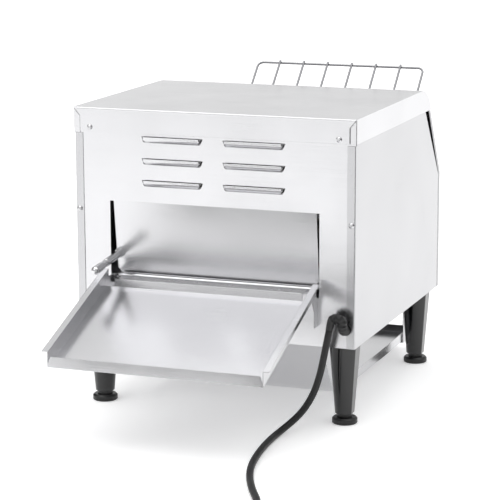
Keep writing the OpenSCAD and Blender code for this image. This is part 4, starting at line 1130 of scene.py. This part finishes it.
@dataclass(frozen=True)
class Dial:
    """The printed marks round a knob, and the pointer line on it.

    Attributes:
        name: Start of its pieces' names, and of the body that its pointer rides on.
        z: Height of its axis.
        steps: Number of marks round it.
        x: Place of its axis across the machine.
        face_y: Place of the front panel's face.
        start: Angle of the first mark in degrees.
        sweep: Angle from the first to the last mark in degrees.
        ring: Distance from the axis to the marks.
        long_mark: Length of a mark at an end of the scale.
        short_mark: Length of a mark between them.
        few: Number of marks under which all are long.
        width: Width of a mark.
        ink: Thickness of the print, half of it sunk in the panel.
        pointer: Size of the pointer line.
        pointer_z: Height of the pointer line's middle above the axis.
        knob_face: Distance of the pointer line's middle in front of the panel.
    """

    name: str
    z: float
    steps: int
    x: float = 141.0
    face_y: float = -380.0
    start: float = 90.0
    sweep: float = 270.0
    ring: float = 21.5
    long_mark: float = 4.4
    short_mark: float = 3.0
    few: int = 6
    width: float = 0.9
    ink: float = 0.12
    pointer: Triple = (1.4, 0.16, 12)
    pointer_z: float = 11.0
    knob_face: float = 23.22

    def build(self, palette: Palette) -> None:
        """Prints the marks on the panel and the pointer on the knob.

        Args:
            palette: The materials.
        """
        last = self.steps - 1
        marks = MeshBuilder()
        for i in range(self.steps):
            angle = math.radians(self.start + self.sweep * i / last)
            is_long = i in (0, last) or self.steps < self.few
            length = self.long_mark if is_long else self.short_mark
            radius = self.ring + length / 2
            middle = at(self.x + radius * math.cos(angle), self.face_y - self.ink / 2,
                        self.z + radius * math.sin(angle))
            turn = Matrix.Rotation(-angle, 4, "Y")
            marks.slab(Matrix.Translation(middle) @ turn, (length, self.ink, self.width))
        place_detail(marks, self.name + "_marks", Finish.MARKING, MACHINE, palette)
        line = MeshBuilder()
        middle = at(self.x, self.face_y - self.knob_face, self.z + self.pointer_z)
        line.slab(Matrix.Translation(middle), self.pointer)
        place_detail(line, self.name + "_pointer", Finish.MARKING, self.name + "_knob", palette)


@dataclass(frozen=True)
class BeltLinks:
    """The zigzag wires between the belt's rods, above and below.

    Attributes:
        left: Place of the belt's left edge.
        width: Width of the belt.
        margin: Distance of the wires' ends from its edges.
        z: Height of the belt's middle.
        half_height: Height of the wires above or below that.
        rear_rod: Distance of the rearmost rod from the rear face.
        front_rod: Distance of the foremost rod from the rear face.
        rows: Number of wires above, and as many below.
        bends: Straight stretches of one wire.
        rod_gap: How much shorter a wire's swing is than the step between rods.
        wire_r: Radius of a wire.
    """

    left: float = -145.0
    width: float = 236.0
    margin: float = 4.0
    z: float = 240.0
    half_height: float = 20.5
    rear_rod: float = 112.0
    front_rod: float = 298.0
    rows: int = 12
    bends: int = 22
    rod_gap: float = 2.6
    wire_r: float = 0.7

    def build(self, palette: Palette) -> None:
        """Weaves the wires.

        Args:
            palette: The materials.
        """
        step = (self.front_rod - self.rear_rod) / self.rows
        swing = (step - self.rod_gap) / 2
        links = MeshBuilder()
        for side in (-1, 1):
            for row in range(self.rows):
                middle = -self.rear_rod - (row + 0.5) * step
                line = []
                for bend in range(self.bends + 1):
                    x = self.left + self.margin + (self.width - 2 * self.margin) * bend / self.bends
                    line.append(at(x, middle + (swing if bend % 2 else -swing),
                                   self.z + side * self.half_height))
                links.tube(line, self.wire_r * MM, 6)
        place_detail(links, "belt_links", Finish.BELT, MACHINE, palette, smooth=True)


@dataclass(frozen=True)
class HeaterCollars:
    """The dark end of each heater's coil, seen as a collar by its cap.

    Attributes:
        upper: Distance of each upper tube from the rear face.
        upper_z: Height of the upper tubes.
        lower: Distance of each lower tube from the rear face.
        lower_z: Height of the lower tubes.
        ends: Places of the collars along a tube.
        outline: Height and radius of each ring of a collar.
    """

    upper: tuple[float, ...] = (128, 174, 220, 266)
    upper_z: float = 314.0
    lower: tuple[float, ...] = (160, 205, 250)
    lower_z: float = 241.0
    ends: Pair = (-149.6, 95.6)
    outline: tuple[Pair, ...] = ((-1.6, 5.3), (-1.2, 5.6), (1.2, 5.6), (1.6, 5.3))

    def build(self, palette: Palette) -> None:
        """Slips two collars over every tube.

        Args:
            palette: The materials.
        """
        collars = MeshBuilder()
        lying = Matrix.Rotation(math.pi / 2, 4, "Y")
        for rows, z in ((self.upper, self.upper_z), (self.lower, self.lower_z)):
            for row in rows:
                for x in self.ends:
                    collars.lathe(self.outline, Matrix.Translation(at(x, -row, z)) @ lying, 24)
        place_detail(collars, "heater_collars", Finish.BELT, MACHINE, palette, smooth=True)


# ---------------------------------------------------------------- studio


@dataclass(frozen=True)
class Table:
    """The wide table under the machine.

    Attributes:
        side: Its length and its width.
        thickness: Its thickness.
        clearance: Gap under the feet, so that no faces touch.
    """

    side: float = 30000.0
    thickness: float = 20.0
    clearance: float = 0.2

    def build(self, palette: Palette) -> None:
        """Lays the table.

        Args:
            palette: The materials.
        """
        middle = -UP * (self.thickness / 2 + self.clearance) * MM
        builder = MeshBuilder()
        builder.slab(Matrix.Translation(middle), (self.side, self.side, self.thickness))
        add_piece("table", builder.finish("table"), palette[Finish.FLOOR], False)


@dataclass(frozen=True)
class Room:
    """The light of a pale room, darker to both sides and behind the camera.

    Attributes:
        sky: Brightness by the height of the direction, from the horizon up.
        sides: What is left of it near the horizon, by how far sideways the direction points.
        behind: What is left of it near the horizon, by how far it points behind the camera.
        fade: How fast the sides' and the back's darkness fades with height.
    """

    sky: tuple[Pair, ...] = ((0.0, 0.98), (0.22, 0.95), (0.5, 0.6), (0.72, 0.6), (0.84, 1.8),
                             (1.0, 2.0))
    sides: tuple[Pair, ...] = ((0.0, 1.0), (0.45, 1.0), (0.75, 0.3), (1.0, 0.25))
    behind: tuple[Pair, ...] = ((0.0, 1.0), (0.1, 1.0), (0.5, 0.38), (1.0, 0.32))
    fade: float = 2.2

    def build(self) -> None:
        """Makes the world's nodes."""
        world = bpy.data.worlds.new("room")
        bpy.context.scene.world = world
        tree = NodeTree(world)
        direction = tree.add("TexCoord").outputs["Generated"]
        x, y, z = tree.add("SeparateXYZ", {0: direction}).outputs
        sideways = tree.add("Math", {0: x}, operation="ABSOLUTE")
        beside = tree.add("ValToRGB", {0: sideways}, self.sides)
        behind = tree.add("ValToRGB", {0: y}, self.behind)
        around = tree.add("Math", {0: beside, 1: behind}, operation="MULTIPLY")
        height = tree.add("Math", {0: z, 1: self.fade}, operation="MULTIPLY")
        depth = tree.add("Math", {0: 1.0, 1: height}, operation="SUBTRACT")
        low = tree.add("ValToRGB", {0: depth}, ((0.0, 0.0), (1.0, 1.0)))
        high = tree.add("Math", {0: 1.0, 1: low}, operation="SUBTRACT")
        dark = tree.add("Math", {0: around, 1: low}, operation="MULTIPLY")
        dimmed = tree.add("Math", {0: dark, 1: high}, operation="ADD")
        sky = tree.add("ValToRGB", {0: z}, self.sky)
        light = tree.add("Math", {0: sky, 1: dimmed}, operation="MULTIPLY")
        background = tree.add("Background", {"Color": light})
        tree.add("OutputWorld", {"Surface": background})
        LOG.info("lit the room")


@dataclass(frozen=True)
class Softbox:
    """The square softbox that hangs high on the camera's left.

    Attributes:
        place: Where it hangs.
        aim: What it points at.
        side: Its side.
        power: Its power in watts.
    """

    place: Triple = (900, 1350, 1650)
    aim: Triple = (0, 0, 150)
    side: float = 1500.0
    power: float = 8.0

    def build(self) -> None:
        """Hangs the softbox."""
        data = bpy.data.lights.new("key_light", "AREA")
        data.size = self.side * MM
        data.energy = self.power
        lamp = bpy.data.objects.new("key_light", data)
        lamp.location = at(*self.place)
        line_of_light = at(*self.aim) - at(*self.place)
        lamp.rotation_euler = line_of_light.to_track_quat("-Z", "Y").to_euler()
        bpy.context.scene.collection.objects.link(lamp)
        LOG.info("hung key_light")


@dataclass(frozen=True)
class Card:
    """A dark card near the machine that only shows in reflections.

    Attributes:
        name: The card's name.
        middle: Its middle.
        size: Its size along x, y and z.
    """

    name: str
    middle: Triple
    size: Triple

    def build(self, palette: Palette) -> None:
        """Stands the card in the studio.

        Args:
            palette: The materials.
        """
        builder = MeshBuilder()
        builder.slab(Matrix.Translation(at(*self.middle)), self.size)
        card = add_piece(self.name, builder.finish(self.name), palette[Finish.FLAG], False)
        card.visible_camera = False
        card.visible_diffuse = False
        card.visible_shadow = False


@dataclass(frozen=True)
class Studio:
    """Pale table, bright room, one softbox and four dark cards.

    Attributes:
        table: The table.
        room: The room's light.
        softbox: The lamp.
        cards: Two upright cards beside the machine and two that lie behind it.
    """

    table: Table = Table()
    room: Room = Room()
    softbox: Softbox = Softbox()
    cards: tuple[Card, ...] = (
        Card("flag_right", (-900, 550, 350), (4, 800, 700)),
        Card("flag_left", (900, -550, 350), (4, 800, 700)),
        Card("flag_near", (-170, 620, 3), (1000, 190, 4)),
        Card("flag_far", (-340, 900, 3), (760, 420, 4)),
    )

    def build(self, palette: Palette) -> None:
        """Sets up the studio and plain colours on the screen.

        Args:
            palette: The materials.
        """
        self.table.build(palette)
        self.room.build()
        self.softbox.build()
        for card in self.cards:
            card.build(palette)
        bpy.context.scene.view_settings.view_transform = "Standard"


# ---------------------------------------------------------------- main


def main() -> None:
    """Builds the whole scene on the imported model."""
    logging.basicConfig(level=logging.INFO)
    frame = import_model()
    palette = Palette()
    CameraFit().install()
    Cord().build(palette)
    palette.dress(frame["nodes"])
    Dial("speed", z=218, steps=10).build(palette)
    Dial("heat", z=168, steps=4).build(palette)
    BeltLinks().build(palette)
    HeaterCollars().build(palette)
    Studio().build(palette)


if __name__ == "__main__":
    main()
